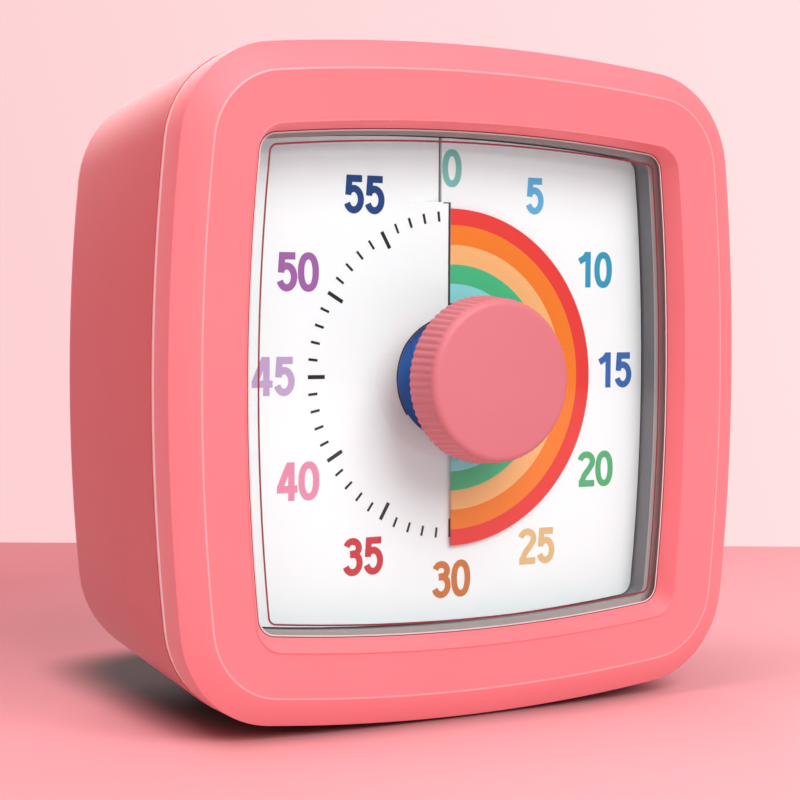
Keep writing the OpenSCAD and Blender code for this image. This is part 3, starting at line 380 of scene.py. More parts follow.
# Each outline is its half width, corner radius, side radius and drop.
SLOPE_WIDTH, BAND_WIDTH, BEVEL_WIDTH = 3.25, 5.45, 1.1
SHOULDER = (HALF, 12.0, 250.0, 0.0)
CREASE = inset(SHOULDER, SLOPE_WIDTH)
WINDOW = (CREASE[0] - BAND_WIDTH, 3.4, 250.0, 0.35)
LIP = (WINDOW[0] - BEVEL_WIDTH, 2.3, 248.9, 0.0)
SEAM = inset(SHOULDER, 0.15)
print(f"outline has {len(outline(*SHOULDER))} points; window is {2 * WINDOW[0]:.1f} mm wide")

# %% Skin a list of outlines


def new_piece(name, mesh_data, *materials):
    """Wraps a bmesh as an object of the scene with its materials."""
    mesh = bpy.data.meshes.new(name)
    mesh_data.to_mesh(mesh)
    mesh_data.free()
    piece = bpy.data.objects.new(name, mesh)
    bpy.context.scene.collection.objects.link(piece)
    for material in materials:
        mesh.materials.append(material)
    return piece


def loft(data, rows, around=False, back=False):
    """Quads from each row of points to the next; around closes each row, back joins last to first."""
    faces = []
    for k in range(len(rows) if back else len(rows) - 1):
        near, far = rows[k], rows[(k + 1) % len(rows)]
        for i in range(len(near) if around else len(near) - 1):
            j = (i + 1) % len(near)
            faces.append(data.faces.new((near[i], near[j], far[j], far[i])))
    return faces


def rounded(stations, steps=4, most=0.45):
    """Stations (outline, depth, radius, finish) as levels (outline, depth, finish) with eased corners.

    An easing takes at most that share of the way to the next station, so that two never meet.
    """
    levels = []
    ends_at = [np.array([*line, depth]) for line, depth, _, _ in stations]
    for index, (_, _, radius, kind) in enumerate(stations):
        here = ends_at[index]
        if radius == 0:
            levels.append((here, kind))
            continue
        near, far = (ends_at[(index + step) % len(stations)] - here for step in (-1, 1))
        near, far = (here + leg * min(most, radius / np.linalg.norm(leg[[0, 4]])) for leg in (near, far))
        for t in np.linspace(0, 1, steps + 1):
            levels.append(((1 - t) ** 2 * near + 2 * t * (1 - t) * here + t ** 2 * far, kind))
    return [(tuple(level[:4]), level[4], kind) for level, kind in levels]


def skin(levels):
    """A closed skin through the outlines of a list of levels, from the last one back to the first."""
    data = bmesh.new()
    rings = [[data.verts.new(place(x, depth, z)) for x, z in outline(*line)] for line, depth, _ in levels]
    kinds = [kind for _, _, kind in levels]
    for index, face in enumerate(loft(data, rings, around=True, back=True)):
        k = index // len(rings[0])
        face.smooth = True
        face.material_index = min(kinds[k], kinds[(k + 1) % len(rings)])
    bmesh.ops.recalc_face_normals(data, faces=data.faces)
    return data


print("loft helpers ready")

# %% [markdown]
# ## The front bezel
# The bezel is one pink moulding. From the seam its side wall runs forward to a shoulder, a narrow band
# slopes up to a fine crease, a broader band dips a little towards the window, and a bevel drops to the
# lens. What makes it read as a moulding is that none of these edges is sharp: a mould is cut with round
# tools, so each edge has a radius of a tenth of a millimetre or more and draws a thin bright line. At the
# fine crease that line is also a painted highlight: the faces of its rounding get a lighter pink. A bead
# less than two tenths of a millimetre high frames the window. Its outer slope shows as a fine line,
# light above and dark below. The stations below are the CAD part's own edges, with such radii and the
# bead added.

# %% Build the bezel
SLOPE_DROP, BEZEL_DEPTH, BEVEL_DEPTH, BAND_DROP = 1.6, 5.7, 2.4, 0.4
SLOPE_STEPS, SLOPE_CURVE, SLOPE_RADIUS = 3, 1.25, 0.3
BEAD_WIDE, BEAD_HIGH = 0.2, 0.17
LENS_POCKET, POCKET_DEPTH = (31.4, 4.2, 250.2, 0.0), BEZEL_DEPTH - 0.05
# EDGE marks the faces of the crease's rounding, which get the lighter pink of a painted highlight
PLAIN, EDGE = 0, 1
slope = [(inset(CREASE, -SLOPE_WIDTH * k / SLOPE_STEPS), SLOPE_DROP * (k / SLOPE_STEPS) ** SLOPE_CURVE,
          SLOPE_RADIUS, PLAIN) for k in (2, 1)]
bezel_stations = [
    (SEAM, BEZEL_DEPTH - CLEAR, 0.12, PLAIN),
    (SHOULDER, SLOPE_DROP, 0.1, PLAIN),
    *slope,
    (CREASE, 0.0, 0.11, EDGE),
    (inset(WINDOW, -BEAD_WIDE), BAND_DROP, 0.01, PLAIN),
    (WINDOW, BAND_DROP - BEAD_HIGH, 0.04, PLAIN),
    (LIP, BEVEL_DEPTH, 0.08, PLAIN),
    (LENS_POCKET, BEVEL_DEPTH + CLEAR, 0.0, PLAIN),
    (LENS_POCKET, POCKET_DEPTH, 0.0, PLAIN),
]
bezel = new_piece("bezel_moulding", skin(rounded(bezel_stations)), pink_abs, crease_highlight_abs)
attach(bezel, "housing")
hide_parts("front_bezel")
print("bezel:", len(bezel.data.polygons), "faces")

# %% [markdown]
# ## The window's border and fine lines
# The middle of the window is a raised panel. Its edge bends the light, so the pink wall behind shows
# there as one dark red hairline that runs all round. The window's rim, where it meets the bevel, catches
# the light instead and shows as a thin pale line, and the join to the bezel lies in shade as a dark line.
# Real refraction at a step of 0.3 mm needs a very fine mesh and many light bounces, so narrow tinted strips
# paint these lines: a painted reflection for the hairline, a painted highlight for the rim and a painted
# shadow for the join. Behind the bezel's lip a grey border on the window's back hides the gap between the
# tray and the housing from a slanting view. Its grey is painted shade, the tone of the dim tray rim there.

# %% Build the window's border and lines
PANEL = inset(LIP, 1.4)
LENS_BACK = BEVEL_DEPTH + 1.8
LINE_DEPTH = BEVEL_DEPTH - 0.01
# the outline that a line follows, how far inside it the line starts and ends, its depth and its finish
WINDOW_LINES = {
    # painted reflection, painted highlight, painted shadow and painted shade, in this order
    "window_hairline": (PANEL, -0.14, 0.08, LINE_DEPTH, painted_refraction_and_shadow),
    "window_rim_highlight": (LIP, 0.09, 0.25, LINE_DEPTH, painted_rim_highlight),
    "window_gap_shadow": (LIP, -0.02, 0.09, LINE_DEPTH, painted_refraction_and_shadow),
    "window_border_shade": (LIP, -1.9, 0.62, LENS_BACK - CLEAR, painted_border_shade),
}


def flat_ring(name, outer, inner, depth, material):
    """A flat band between two outlines, facing the front."""
    data = bmesh.new()
    edges = [[data.verts.new(place(x, depth, z)) for x, z in outline(*line)] for line in (outer, inner)]
    loft(data, list(zip(*edges)), back=True)
    return new_piece(name, data, material)


for name, (followed, start, end, depth, material) in WINDOW_LINES.items():
    line = flat_ring(name, inset(followed, start), inset(followed, end), depth, material)
    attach(line, "housing")
print("window lines:", ", ".join(WINDOW_LINES))

# %% [markdown]
# ## The dial's print
# A sixty-minute dial has one tick a minute and a number every five. The numbers run clockwise from
# the slit at the top. Ink is only a few hundredths of a millimetre thick, so each mark is a flat shape
# that lies 0.02 mm proud of the plate. Left of the slit the plate rises in a louvre, under which the
# disc dives, and the last ticks are printed on that slope. So one function tells how deep the printed
# face lies at a place, and every mark asks it. The plate is printed flat and formed afterwards, which
# draws the marks on the louvre a little towards its foot.

# %% The printed face and its ticks
DIAL_FACE, DIAL_BACK = 7.0, 7.8
INK = 0.02
LOUVRE_X, LOUVRE_DEPTHS, LOUVRE_TOP = (-6.3, -5.7, -0.7), (DIAL_FACE, 6.85, 5.95), 20.7
FIVE_TICK, MINUTE_TICK = (17.15, 19.35, 0.46), (18.2, 19.4, 0.3)  # inner and outer radius, width
TICK_CENTRE, TICK_SQUEEZE = np.array([0.15, 0.3]), 0.45


def printed_face(x, z):
    """The depth of ink that lies on the dial or on its louvre at a place given from the dial's centre."""
    on_louvre = LOUVRE_X[0] < x <= LOUVRE_X[-1] and 0 < z <= LOUVRE_TOP
    return (np.interp(x, LOUVRE_X, LOUVRE_DEPTHS) if on_louvre else DIAL_FACE) - INK


def dial_point(x, z, depth):
    """A point given in millimetres from the dial's centre."""
    return place(x, depth, z + DIAL_RISE)


ticks = bmesh.new()
for minute in range(60):
    inner, outer, wide = FIVE_TICK if minute % 5 == 0 else MINUTE_TICK
    half = wide / 2
    angle = math.radians(6 * minute)
    corners = [TICK_CENTRE + (r * math.sin(angle) + across * math.cos(angle),
                              r * math.cos(angle) - across * math.sin(angle))
               for r, across in ((inner, -half), (inner, half), (outer, half), (outer, -half))]
    squeeze = TICK_SQUEEZE * (DIAL_FACE - printed_face(*corners[0]))
    corners = [(x - squeeze, z) for x, z in corners]
    ticks.faces.new([ticks.verts.new(dial_point(x, z, printed_face(x, z))) for x, z in corners])
tick_marks = new_piece("dial_ticks", ticks, ink_black)
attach(tick_marks, "housing")
print("ticks:", len(tick_marks.data.polygons))

# %% [markdown]
# ## The cut edges of the dial
# The dial is die cut. A fine dark line of painted shadow runs down the louvre's free edge, along the slit,
# across the louvre's top and round the hole, where the cut edges catch no light. The slit was cut a little
# longer than the disc needs, and a small web closes its end, so that nothing shows through above the disc.

# %% Build the painted shadow lines of the cuts and the web
HOLE_R, HOLE_LINE, HOLE_ARC, HOLE_STEPS = 7.2, (0.22, 0.02), (-6.0, -126.0), 61  # the arc in degrees
LOUVRE_LINE, THREAD_LINE, END_LINE = 0.28, 0.12, 0.14
THREAD_X, THREAD_HALF, PLATE_TOP = -1.5, 0.15, 28.3
WEB_LOW, WEB_LEFT, WEB_RIGHT, WEB_STEPS = 20.08, LOUVRE_X[-1] - 0.4, 0.3, 8
WEB_BACK = DIAL_BACK - 0.3


def strip(data, outer, inner):
    """Joins two rows of points of the dial's face with quads."""
    edges = [[data.verts.new(dial_point(x, z, printed_face(x, z))) for x, z in row] for row in (outer, inner)]
    loft(data, list(zip(*edges)))


def cut_line(data, start, end, across):
    """A straight dark line of painted shadow; across is the step from the cut edge to the line's other side.
    """
    strip(data, (start, end), [(x + across[0], z + across[1]) for x, z in (start, end)])


# painted shadow along the louvre's free edge, the slit, the louvre's top and the hole
cuts = bmesh.new()
edge_x = LOUVRE_X[-1] - CLEAR
thread_x = THREAD_X - THREAD_HALF
hole_top = math.sqrt(HOLE_R ** 2 - edge_x ** 2)
cut_line(cuts, (edge_x, hole_top), (edge_x, LOUVRE_TOP), (-LOUVRE_LINE, 0))
cut_line(cuts, (thread_x, LOUVRE_TOP + CLEAR), (thread_x, PLATE_TOP), (-THREAD_LINE, 0))
cut_line(cuts, (thread_x, LOUVRE_TOP), (edge_x, LOUVRE_TOP), (0, -END_LINE))
angles = np.radians(np.linspace(*HOLE_ARC, HOLE_STEPS))
strip(cuts, *[[((HOLE_R + out) * math.sin(a), (HOLE_R + out) * math.cos(a)) for a in angles]
              for out in HOLE_LINE])
cut_shadow_lines = new_piece("dial_cut_shadow_lines", cuts, painted_cut_shadow)

web = bmesh.new()
web_x = np.linspace(WEB_LEFT, WEB_RIGHT, WEB_STEPS)
web_arc = [(x, math.sqrt(WEB_LOW ** 2 - x * x)) for x in web_x]
web_top = [(x, LOUVRE_TOP) for x in web_x]
web_rows = [[web.verts.new(dial_point(x, z, depth)) for x, z in row] for depth, row in
            ((DIAL_FACE, web_arc), (DIAL_FACE, web_top), (WEB_BACK, web_top), (WEB_BACK, web_arc))]
loft(web, web_rows, back=True)
for i in (0, -1):
    web.faces.new([row[i] for row in web_rows])
bmesh.ops.recalc_face_normals(web, faces=web.faces)
slit_web = new_piece("slit_end_web", web, dial_white)
for piece in (cut_shadow_lines, slit_web):
    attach(piece, "housing")
print("cut lines:", len(cut_shadow_lines.data.polygons), "faces; web:", len(slit_web.data.polygons))

# %% [markdown]
# ## The numbers
# The numbers are a plain narrow sans-serif: all strokes have nearly the same width, as if drawn with
# one broad pen. So that is how they are made. Each figure is one to three pen paths, and a function
# lays a ribbon of constant width along a path, mitred at its bends. Arcs come from a formula, so a
# path needs only the few points that its shape has. Only six figures are needed on this dial.

# %% Figures as pen paths
CAP, PEN = 4.4, 0.82
HIGH, WIDE = CAP / 2 - PEN / 2, 0.95


def bow(cx, cz, rx, rz, start, end, steps=14):
    """An arc of an ellipse as points; angles in degrees, counted anticlockwise from the right."""
    return [(cx + rx * math.cos(math.radians(a)), cz + rz * math.sin(math.radians(a)))
            for a in np.linspace(start, end, steps)]


def oval(rx, rz, power=0.88, steps=41):
    """A closed loop as points: an ellipse where power is 1, and a little squarer below that."""
    return [(rx * math.copysign(abs(math.cos(a)) ** power, math.cos(a)),
             rz * math.copysign(abs(math.sin(a)) ** power, math.sin(a)))
            for a in np.linspace(0, 2 * math.pi, steps)]


FIGURES = {
    "0": [oval(WIDE, HIGH + 0.04)],
    "1": [[(0.42, -CAP / 2), (0.42, CAP / 2)], [(0.3, 1.98), (-0.1, 1.45), (-0.92, 0.98)]],
    "2": [bow(0, HIGH - 0.83, WIDE, 0.85, 168, -24) + [(0.5, 0.1), (-0.3, -0.78), (-0.74, -HIGH + 0.08)],
          [(-1.14, -HIGH), (1.24, -HIGH)]],
    "3": [bow(-0.02, HIGH - 0.75, 0.84, 0.77, 165, -80) + [(-0.35, 0.3)],
          [(-0.35, 0.3)] + bow(-0.02, -HIGH + 1.06, WIDE, 1.1, 84, -160, 16)],
    "4": [[(0.5, -CAP / 2), (0.5, CAP / 2)], [(0.3, 2.05), (-0.16, 1.15), (-0.96, -0.72)],
          [(-1.34, -0.86), (1.28, -0.86)]],
    "5": [[(-0.98, HIGH), (1.08, HIGH)], [(-0.58, CAP / 2 - 0.1), (-0.74, -0.12)],
          bow(-0.02, -HIGH + 1.2, WIDE, 1.24, 141, -158, 20)],
}
print("figures:", " ".join(FIGURES), "with", sum(map(len, FIGURES.values())), "pen paths")

# %% Lay the numbers round the dial
NUMBER_R, ADVANCE = 24.35, 2.76
NUMBER_CENTRE = np.array([0.33, DIAL_RISE + 0.45])
STROKE_STEP, MITRE_LIMIT = 0.004, 1.6
# the ink of each number, and how far it sits off its place on the ring, to the right and up
NUMBERS = {
    0: ("#7CC0B5", (-0.25, 0.0)),
    5: ("#5FAEDB", (-0.45, 0.4)),
    10: ("#2E97BC", (-0.25, 0.5)),
    15: ("#3566B0", (-0.25, 0.2)),
    20: ("#4DAF72", (0.2, 0.05)),
    25: ("#E2BA80", (0.25, -0.2)),
    30: ("#CC7434", (0.0, -0.18)),
    35: ("#C8333A", (0.0, 0.0)),
    40: ("#E58CAA", (0.35, 0.18)),
    45: ("#C0A3CC", (0.4, 0.0)),
    50: ("#9F5EA5", (0.2, -0.37)),
    55: ("#133C7E", (-0.05, -0.25)),
}


def ribbon(data, path, shift, width, depth):
    """Lays a flat ribbon along a pen path, mitred where it bends."""
    points = np.array(path) + shift
    steps = np.diff(points, axis=0)
    steps /= np.linalg.norm(steps, axis=1)[:, None]
    ahead = np.vstack([steps, steps[-1]])
    behind = np.vstack([steps[0], steps])
    if np.allclose(points[0], points[-1], atol=1e-6):
        behind[0], ahead[-1] = steps[-1], steps[0]
    middle = ahead + behind
    middle /= np.linalg.norm(middle, axis=1)[:, None]
    across = np.stack([-middle[:, 1], middle[:, 0]], 1)
    stretch = np.clip(1 / np.sum(middle * ahead, axis=1), 1, MITRE_LIMIT)[:, None]
    left, right = (points + side * across * stretch * width / 2 for side in (1, -1))
    loft(data, [[data.verts.new(place(x, depth, z)) for x, z in edge] for edge in (left, right)])


for minute, (code, nudge) in NUMBERS.items():
    data = bmesh.new()
    text = str(minute)
    angle = math.radians(6 * minute)
    middle = NUMBER_CENTRE + NUMBER_R * np.array([math.sin(angle), math.cos(angle)]) + nudge
    strokes = [(path, (order - (len(text) - 1) / 2) * ADVANCE)
               for order, figure in enumerate(text) for path in FIGURES[figure]]
    for order, (path, offset) in enumerate(strokes):
        ribbon(data, path, middle + (offset, 0), PEN, DIAL_FACE - INK - order * STROKE_STEP)
    number = new_piece(f"number_{minute}", data, printed(f"screen-printed ink, number {minute}", code))
    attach(number, "housing")
print("numbers:", ", ".join(str(minute) for minute in NUMBERS))

# %% [markdown]
# ## The striped disc
# The disc is a thin printed film with one radial cut. It threads through the dial's slit like a
# spiral: at thirty minutes its right half lies in front of the dial and its left half behind it. When
# the knob turns, film slides out of the slit, so the part in front grows or shrinks like a fan. A rigid
# half disc can't do that. A fan can: the film is a grid in angle and radius whose points follow the
# knob by a share that rises evenly from none at the slit to all at the cut's edge. The stripes are
# circles, so this stretch along them can't be seen. Behind the dial only the inner band shows, deep in
# the hole round the knob, and there it gets a lighter blue, so that the shade leaves it blue.

# %% The film as a fan
FILM_FRONT, FILM_BACK, FILM_T, FILM_MOTTLE = 6.5, 8.3, 0.3, 0.3
DIVE_START, DIVE_END, CUT_X = -0.6, -5.45, -0.05
FAN_STEPS, DIVE_STEPS = 90, 10
# the radius at which each band starts, and its ink; the last radius is the film's edge
BANDS = [(4.4, "#3F5FA9"), (8.86, "#8ADADD"), (11.13, "#42BA7F"), (13.43, "#F4B574"),
         (15.73, "#F07B18"), (18.08, "#E43630"), (20.0, None)]
HOLE_BLUE = "#3F83DD"
radii = [r for r, _ in BANDS]


def film_point(radius, angle, depth):
    """A point of the film; its angle runs clockwise from twelve o'clock."""
    return dial_point(radius * math.sin(angle), radius * math.cos(angle), depth)


def angle_at(x, radius):
    """The angle at which a circle of that radius crosses x, above the dial's centre."""
    return math.asin(max(x / radius, -1.0))


rows = []
for along in np.linspace(1, 0, FAN_STEPS):
    angles = [(1 - along) * angle_at(DIVE_START, r) + along * (math.pi - angle_at(CUT_X, r)) for r in radii]
    rows.append((along, [film_point(r, a, FILM_FRONT) for r, a in zip(radii, angles)]))
for t in np.linspace(0, 1, DIVE_STEPS)[1:-1]:
    x = DIVE_START + (DIVE_END - DIVE_START) * t
    depth = FILM_FRONT + (FILM_BACK - FILM_FRONT) * t * t * (3 - 2 * t)
    rows.append((0.0, [film_point(r, angle_at(x, r), depth) for r in radii]))
for along in np.linspace(0, 1, FAN_STEPS):
    angles = [(1 - along) * angle_at(DIVE_END, r) - along * math.pi for r in radii]
    rows.append((along, [film_point(r, a, FILM_BACK) for r, a in zip(radii, angles)]))
print("film rows:", len(rows))

# %% Build the film and let it follow the knob
film = bmesh.new()
share = film.verts.layers.float.new("share")
made = []
for along, points in rows:
    made.append([film.verts.new(point) for point in points])
    for vertex in made[-1]:
        vertex[share] = along
bands = len(radii) - 1
hidden_from = place(0, DIAL_FACE, 0).y
for index, face in enumerate(loft(film, made)):
    row, band = divmod(index, bands)
    in_hole = band == 0 and made[row][0].co.y > hidden_from
    face.material_index = bands if in_hole else band
inks = [printed(f"printed film, band {i + 1}", code, mottle_mm=FILM_MOTTLE)
        for i, (_, code) in enumerate(BANDS[:-1])]
hole_ink = printed("printed film, inner band as seen in the hole", HOLE_BLUE, mottle_mm=FILM_MOTTLE)
disc = new_piece("disc_film", film, *inks, hole_ink)
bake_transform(disc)
film_body = disc.modifiers.new("film thickness", "SOLIDIFY")
film_body.thickness = FILM_T * MM
film_body.offset = 0
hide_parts("colour_disc")
print("film:", len(disc.data.polygons), "faces in", bands, "bands")

# %% [markdown]
# ## The knob
# The knob is a deep pink cap with 68 ribs round its side and a plain face. The ribs fade out on the
# rounded edge, because the mould's grooves are cut straight along its axis and the face's radius
# leaves them. The CAD part has that form with straight facets. For a close view the same profile is
# turned here with twelve points to each rib, so that crowns are round and grooves are narrow. The face
# is crowned by a third of a millimetre, as moulded faces are, which gives it a soft change in shade.

# %% Build the knob
KNOB_R, KNOB_FACE_R, KNOB_OUT, KNOB_BACK = 9.75, 9.45, 4.6, 0.4
KNOB_EDGE, KNOB_CROWN = 1.0, 0.35
HOLLOW_R, MOUTH_R, HOLLOW_DEPTH, BACK_CHAMFER = KNOB_R - 1.7, KNOB_R - 1.5, 1.0, 0.1
RIBS, PER_RIB, RIB_DEPTH = 68, 12, 0.13
GROOVE_POWER, FADE_AT = 1.3, 0.75
SIDE_SHARES, FACE_SHARES = np.linspace(0.03, 1, 7), np.linspace(1, 0, 7)[1:-1]
EDGE_TURNS = np.radians(np.linspace(8, 90, 11))
side_length = KNOB_BACK + KNOB_OUT - KNOB_CROWN - KNOB_EDGE
# the profile's points: radius, depth, and how deep the grooves are there
profile = [
    (HOLLOW_R, KNOB_BACK - HOLLOW_DEPTH, 0.0),
    (MOUTH_R, KNOB_BACK, 0.0),
    (KNOB_R - RIB_DEPTH - BACK_CHAMFER, KNOB_BACK, 0.0),
    (KNOB_R - BACK_CHAMFER, KNOB_BACK, RIB_DEPTH),
]
for t in SIDE_SHARES:
    profile.append((KNOB_R + (KNOB_FACE_R - KNOB_R) * t, KNOB_BACK - side_length * t, RIB_DEPTH))
for a in EDGE_TURNS:
    fade = max(0.0, 1 - math.sin(a) / FADE_AT)
    profile.append((KNOB_FACE_R - KNOB_EDGE * (1 - math.cos(a)),
                    KNOB_CROWN - KNOB_OUT + KNOB_EDGE * (1 - math.sin(a)), RIB_DEPTH * fade))
for t in FACE_SHARES:
    profile.append(((KNOB_FACE_R - KNOB_EDGE) * t, KNOB_CROWN * t * t - KNOB_OUT, 0.0))
knob_data = bmesh.new()
rings = []
for radius, depth, groove in profile:
    rings.append([])
    for i in range(RIBS * PER_RIB):
        angle = 2 * math.pi * i / (RIBS * PER_RIB)
        dip = (0.5 + 0.5 * math.cos(RIBS * angle)) ** GROOVE_POWER
        r = radius - groove * dip
        rings[-1].append(knob_data.verts.new(dial_point(r * math.cos(angle), r * math.sin(angle), depth)))
loft(knob_data, rings, around=True)
centre = knob_data.verts.new(dial_point(0, 0, -KNOB_OUT))
for i in range(len(rings[-1])):
    knob_data.faces.new((rings[-1][i], rings[-1][(i + 1) % len(rings[-1])], centre))
for face in knob_data.faces:
    face.smooth = True
bmesh.ops.recalc_face_normals(knob_data, faces=knob_data.faces)
knob = new_piece("knob_cap", knob_data, knob_abs)
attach(knob, "knob_and_disc")
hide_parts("knob")
print("knob:", len(knob.data.polygons), "faces,", RIBS, "ribs")

# %% [markdown]
# ## The rear shell and its open battery bay
# The rear shell is a deep moulding with the battery bay as a box inside it, open to the back under the
# door. The CAD shell has the right shape all over, apart from a skin of 0.2 mm that still closes the bay
# behind the door. So the shell is copied from its node, and a boolean cuts that skin away. The copy's
# doubled points are joined first, because a boolean needs a closed mesh. With the door open, the cell
# and its contacts then show as they do on the real thing.

# %% Open the bay
BAY_X, BAY_LOW, BAY_HIGH, SKIN_FRONT, SKIN_BACK = 27.2, -31.05, -16.35, 35.6, 37.0
cutter_data = bmesh.new()
bmesh.ops.create_cube(cutter_data, size=1.0)
low, high = place(-BAY_X, SKIN_FRONT, BAY_LOW), place(BAY_X, SKIN_BACK, BAY_HIGH)
for vert in cutter_data.verts:
    vert.co = Vector(low[i] + (vert.co[i] + 0.5) * (high[i] - low[i]) for i in range(3))
cutter = new_piece("bay_cutter", cutter_data)
shell_data = bmesh.new()
shell_data.from_mesh(frame["nodes"]["rear_shell"].data)
bmesh.ops.remove_doubles(shell_data, verts=shell_data.verts, dist=WELD * MM)
shell = new_piece("rear_shell_moulding", shell_data, deep_pink_abs)
opening = shell.modifiers.new("open the bay", "BOOLEAN")
opening.object, opening.solver, opening.operation = cutter, "EXACT", "DIFFERENCE"
opened = bpy.data.meshes.new_from_object(shell.evaluated_get(bpy.context.evaluated_depsgraph_get()))
shell.modifiers.clear()
shell.data = opened
opened.materials.clear()
opened.materials.append(deep_pink_abs)
bpy.data.objects.remove(cutter)
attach(shell, "housing")
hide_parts("rear_shell")
print("shell:", len(shell.data.polygons), "faces with the bay open")

# %% [markdown]
# ## The parts that stay as modelled
# Everything else already has its right shape in the CAD model, so it only needs a finish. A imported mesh
# has hard shading between all its facets. A small geometry-nodes modifier joins its doubled points and
# shades it smooth, except across edges that turn by more than 28 degrees, which are real edges. The
# nodes that a piece above replaces are in the list too, so that a node left without a finish stands out.

# %% Smooth shading across shallow edges
SHARP = math.radians(28)
shading = bpy.data.node_groups.new("smooth across shallow edges", "GeometryNodeTree")
for direction in ("INPUT", "OUTPUT"):
    shading.interface.new_socket("Geometry", in_out=direction, socket_type="NodeSocketGeometry")
packed = add(shading, "NodeGroupInput").outputs[0]
joined = add(shading, "GeometryNodeMergeByDistance", {"Geometry": packed, "Distance": WELD * MM}).outputs[0]
turn = add(shading, "GeometryNodeInputMeshEdgeAngle").outputs["Unsigned Angle"]
steep = add(shading, "FunctionNodeCompare", {0: turn, 1: SHARP}, operation="GREATER_THAN").outputs[0]
soft = add(shading, "GeometryNodeSetShadeSmooth", {"Geometry": joined, "Shade Smooth": True}).outputs[0]
edged = add(shading, "GeometryNodeSetShadeSmooth",
            {"Geometry": soft, "Selection": steep, "Shade Smooth": False}, domain="EDGE")
add(shading, "NodeGroupOutput", {0: edged.outputs[0]})


def smooth(piece):
    """Gives a piece the smooth shading."""
    piece.modifiers.new("smooth across shallow edges", "NODES").node_group = shading


NODE_FINISH = {
    pink_abs: ["front_bezel"],
    deep_pink_abs: ["rear_shell", "battery_door"],
    knob_abs: ["knob"],
    clear_acrylic: ["lens"],
    frame_abs: ["inner_frame"],
    white_abs: ["disc_hub", "movement_front", "movement_back", "switch_lever", "volume_slider"],
    dial_white: ["dial_plate"],
    blue_abs: ["disc_washer", "colour_disc"],
    foot_rubber: ["feet"],
    zinc_steel: ["housing_screws", "bezel_screws", "movement_screws", "board_screws"],
    nickel_steel: ["output_shaft", "quartz_crystal", "contact_plus", "contact_minus", "battery_spring"],
    spring_brass: ["clutch_spring", "zero_contact"],
    acetal: ["zero_cam", "drive_wheel", "third_wheel", "second_wheel", "first_wheel", "rotor_pinion"],
    ferrite: ["rotor_magnet"],
    soft_iron: ["stator"],
    green_nylon: ["coil_bobbin"],
    copper: ["coil_winding"],
    solder_mask: ["circuit_board"],
    black_resin: ["timer_chip"],
    black_abs: ["buzzer", "switch_case"],
    cell_wrap: ["battery_cell"],
}
for material, names in NODE_FINISH.items():
    for name in names:
        node = frame["nodes"][name]
        node.data.materials.clear()
        node.data.materials.append(material)
        smooth(node)
smooth(shell)
left_over = sorted(set(frame["nodes"]) - {name for names in NODE_FINISH.values() for name in names})
print("finished", sum(map(len, NODE_FINISH.values())), "CAD nodes; left over:", left_over)

# %% [markdown]
# ## The stage
# A product like this is shown on a plain pale surface under large soft lamps. The paper takes a deeper
# tone away from the lamps and a dark contact shade round the timer's footprint. That shade is lighter in
# front, where the lamps' own shadow falls on it as well. Its outline is a rounded square, which is where
# the fourth powers of the two distances add up to one. Only the camera sees those tones. The light that
# the paper throws back onto the timer is that of an even, paler sheet.

# %% The table and its paper
LOOK = math.radians(31.14)
EYE = place(-124.5, -187.6, 8.35)
TABLE_AHEAD, TABLE_BEHIND, TABLE_SIDE = 0.394, 0.6, 0.9  # metres
FAR_LEFT, TONE_FADE = Vector((-0.47, 0.88, 0.0)), (-0.063, 0.108)  # a direction, and metres along it
SHADE_MIDDLE, SHADE_HALF, SHADE_POWER = Vector((0, 14, 0)), Vector((35.5, 35, 1)), 4.0
SHADE_FADE = (0.74, 1.05)  # as shares of the way out to SHADE_HALF
FRONT_FADE = (-16, 4)
FIBRE_MM, FIBRE_SHIFT = 1.5, (0.99, 1.01)


def on_table(ahead, sideways):
    """A point of the floor, from the camera's foot: ahead along its view and to its right, in metres."""
    return Vector((EYE.x + ahead * math.sin(LOOK) + sideways * math.cos(LOOK),
                   EYE.y + ahead * math.cos(LOOK) - sideways * math.sin(LOOK), 0.0))


floor_data = bmesh.new()
floor_data.faces.new([floor_data.verts.new(on_table(ahead, sideways)) for ahead, sideways in
                      ((-TABLE_BEHIND, -TABLE_SIDE), (-TABLE_BEHIND, TABLE_SIDE),
                       (TABLE_AHEAD, TABLE_SIDE), (TABLE_AHEAD, -TABLE_SIDE))])
floor_paper, tree, shader = finish("seamless studio paper, pale pink", Roughness=0.9)
where = add(tree, "ShaderNodeTexCoord").outputs["Object"]
shift = remapped(tree, noise(tree, where, FIBRE_MM, 3.0), UNIT, FIBRE_SHIFT)
graded = remapped(tree, vector_math(tree, "DOT_PRODUCT", where, FAR_LEFT), TONE_FADE)
tone = add(tree, "ShaderNodeHueSaturation", {
    "Color": blended(tree, graded, colour("#F5A8AD"), colour("#C76A70")), "Value": shift}).outputs["Color"]
offset = vector_math(tree, "SUBTRACT", where, SHADE_MIDDLE * MM)
offset = vector_math(tree, "DIVIDE", offset, SHADE_HALF * MM)
offset = add(tree, "ShaderNodeSeparateXYZ", {"Vector": offset}).outputs
across, along = (calculate(tree, "POWER", offset[axis], SHADE_POWER) for axis in "XY")
reached = calculate(tree, "POWER", calculate(tree, "ADD", across, along), 1 / SHADE_POWER)
outside = remapped(tree, reached, SHADE_FADE, interpolation_type="SMOOTHSTEP")
backward = add(tree, "ShaderNodeSeparateXYZ", {"Vector": where}).outputs["Y"]
backward = remapped(tree, backward, [y * MM for y in FRONT_FADE])
dark = blended(tree, backward, colour("#8C6E6F"), colour("#3A2828"))
tone = blended(tree, outside, dark, tone)
looked_at = add(tree, "ShaderNodeLightPath").outputs["Is Camera Ray"]
tree.links.new(blended(tree, looked_at, colour("#D6C2C4"), tone), shader.inputs["Base Color"])
floor = new_piece("floor", floor_data, floor_paper)
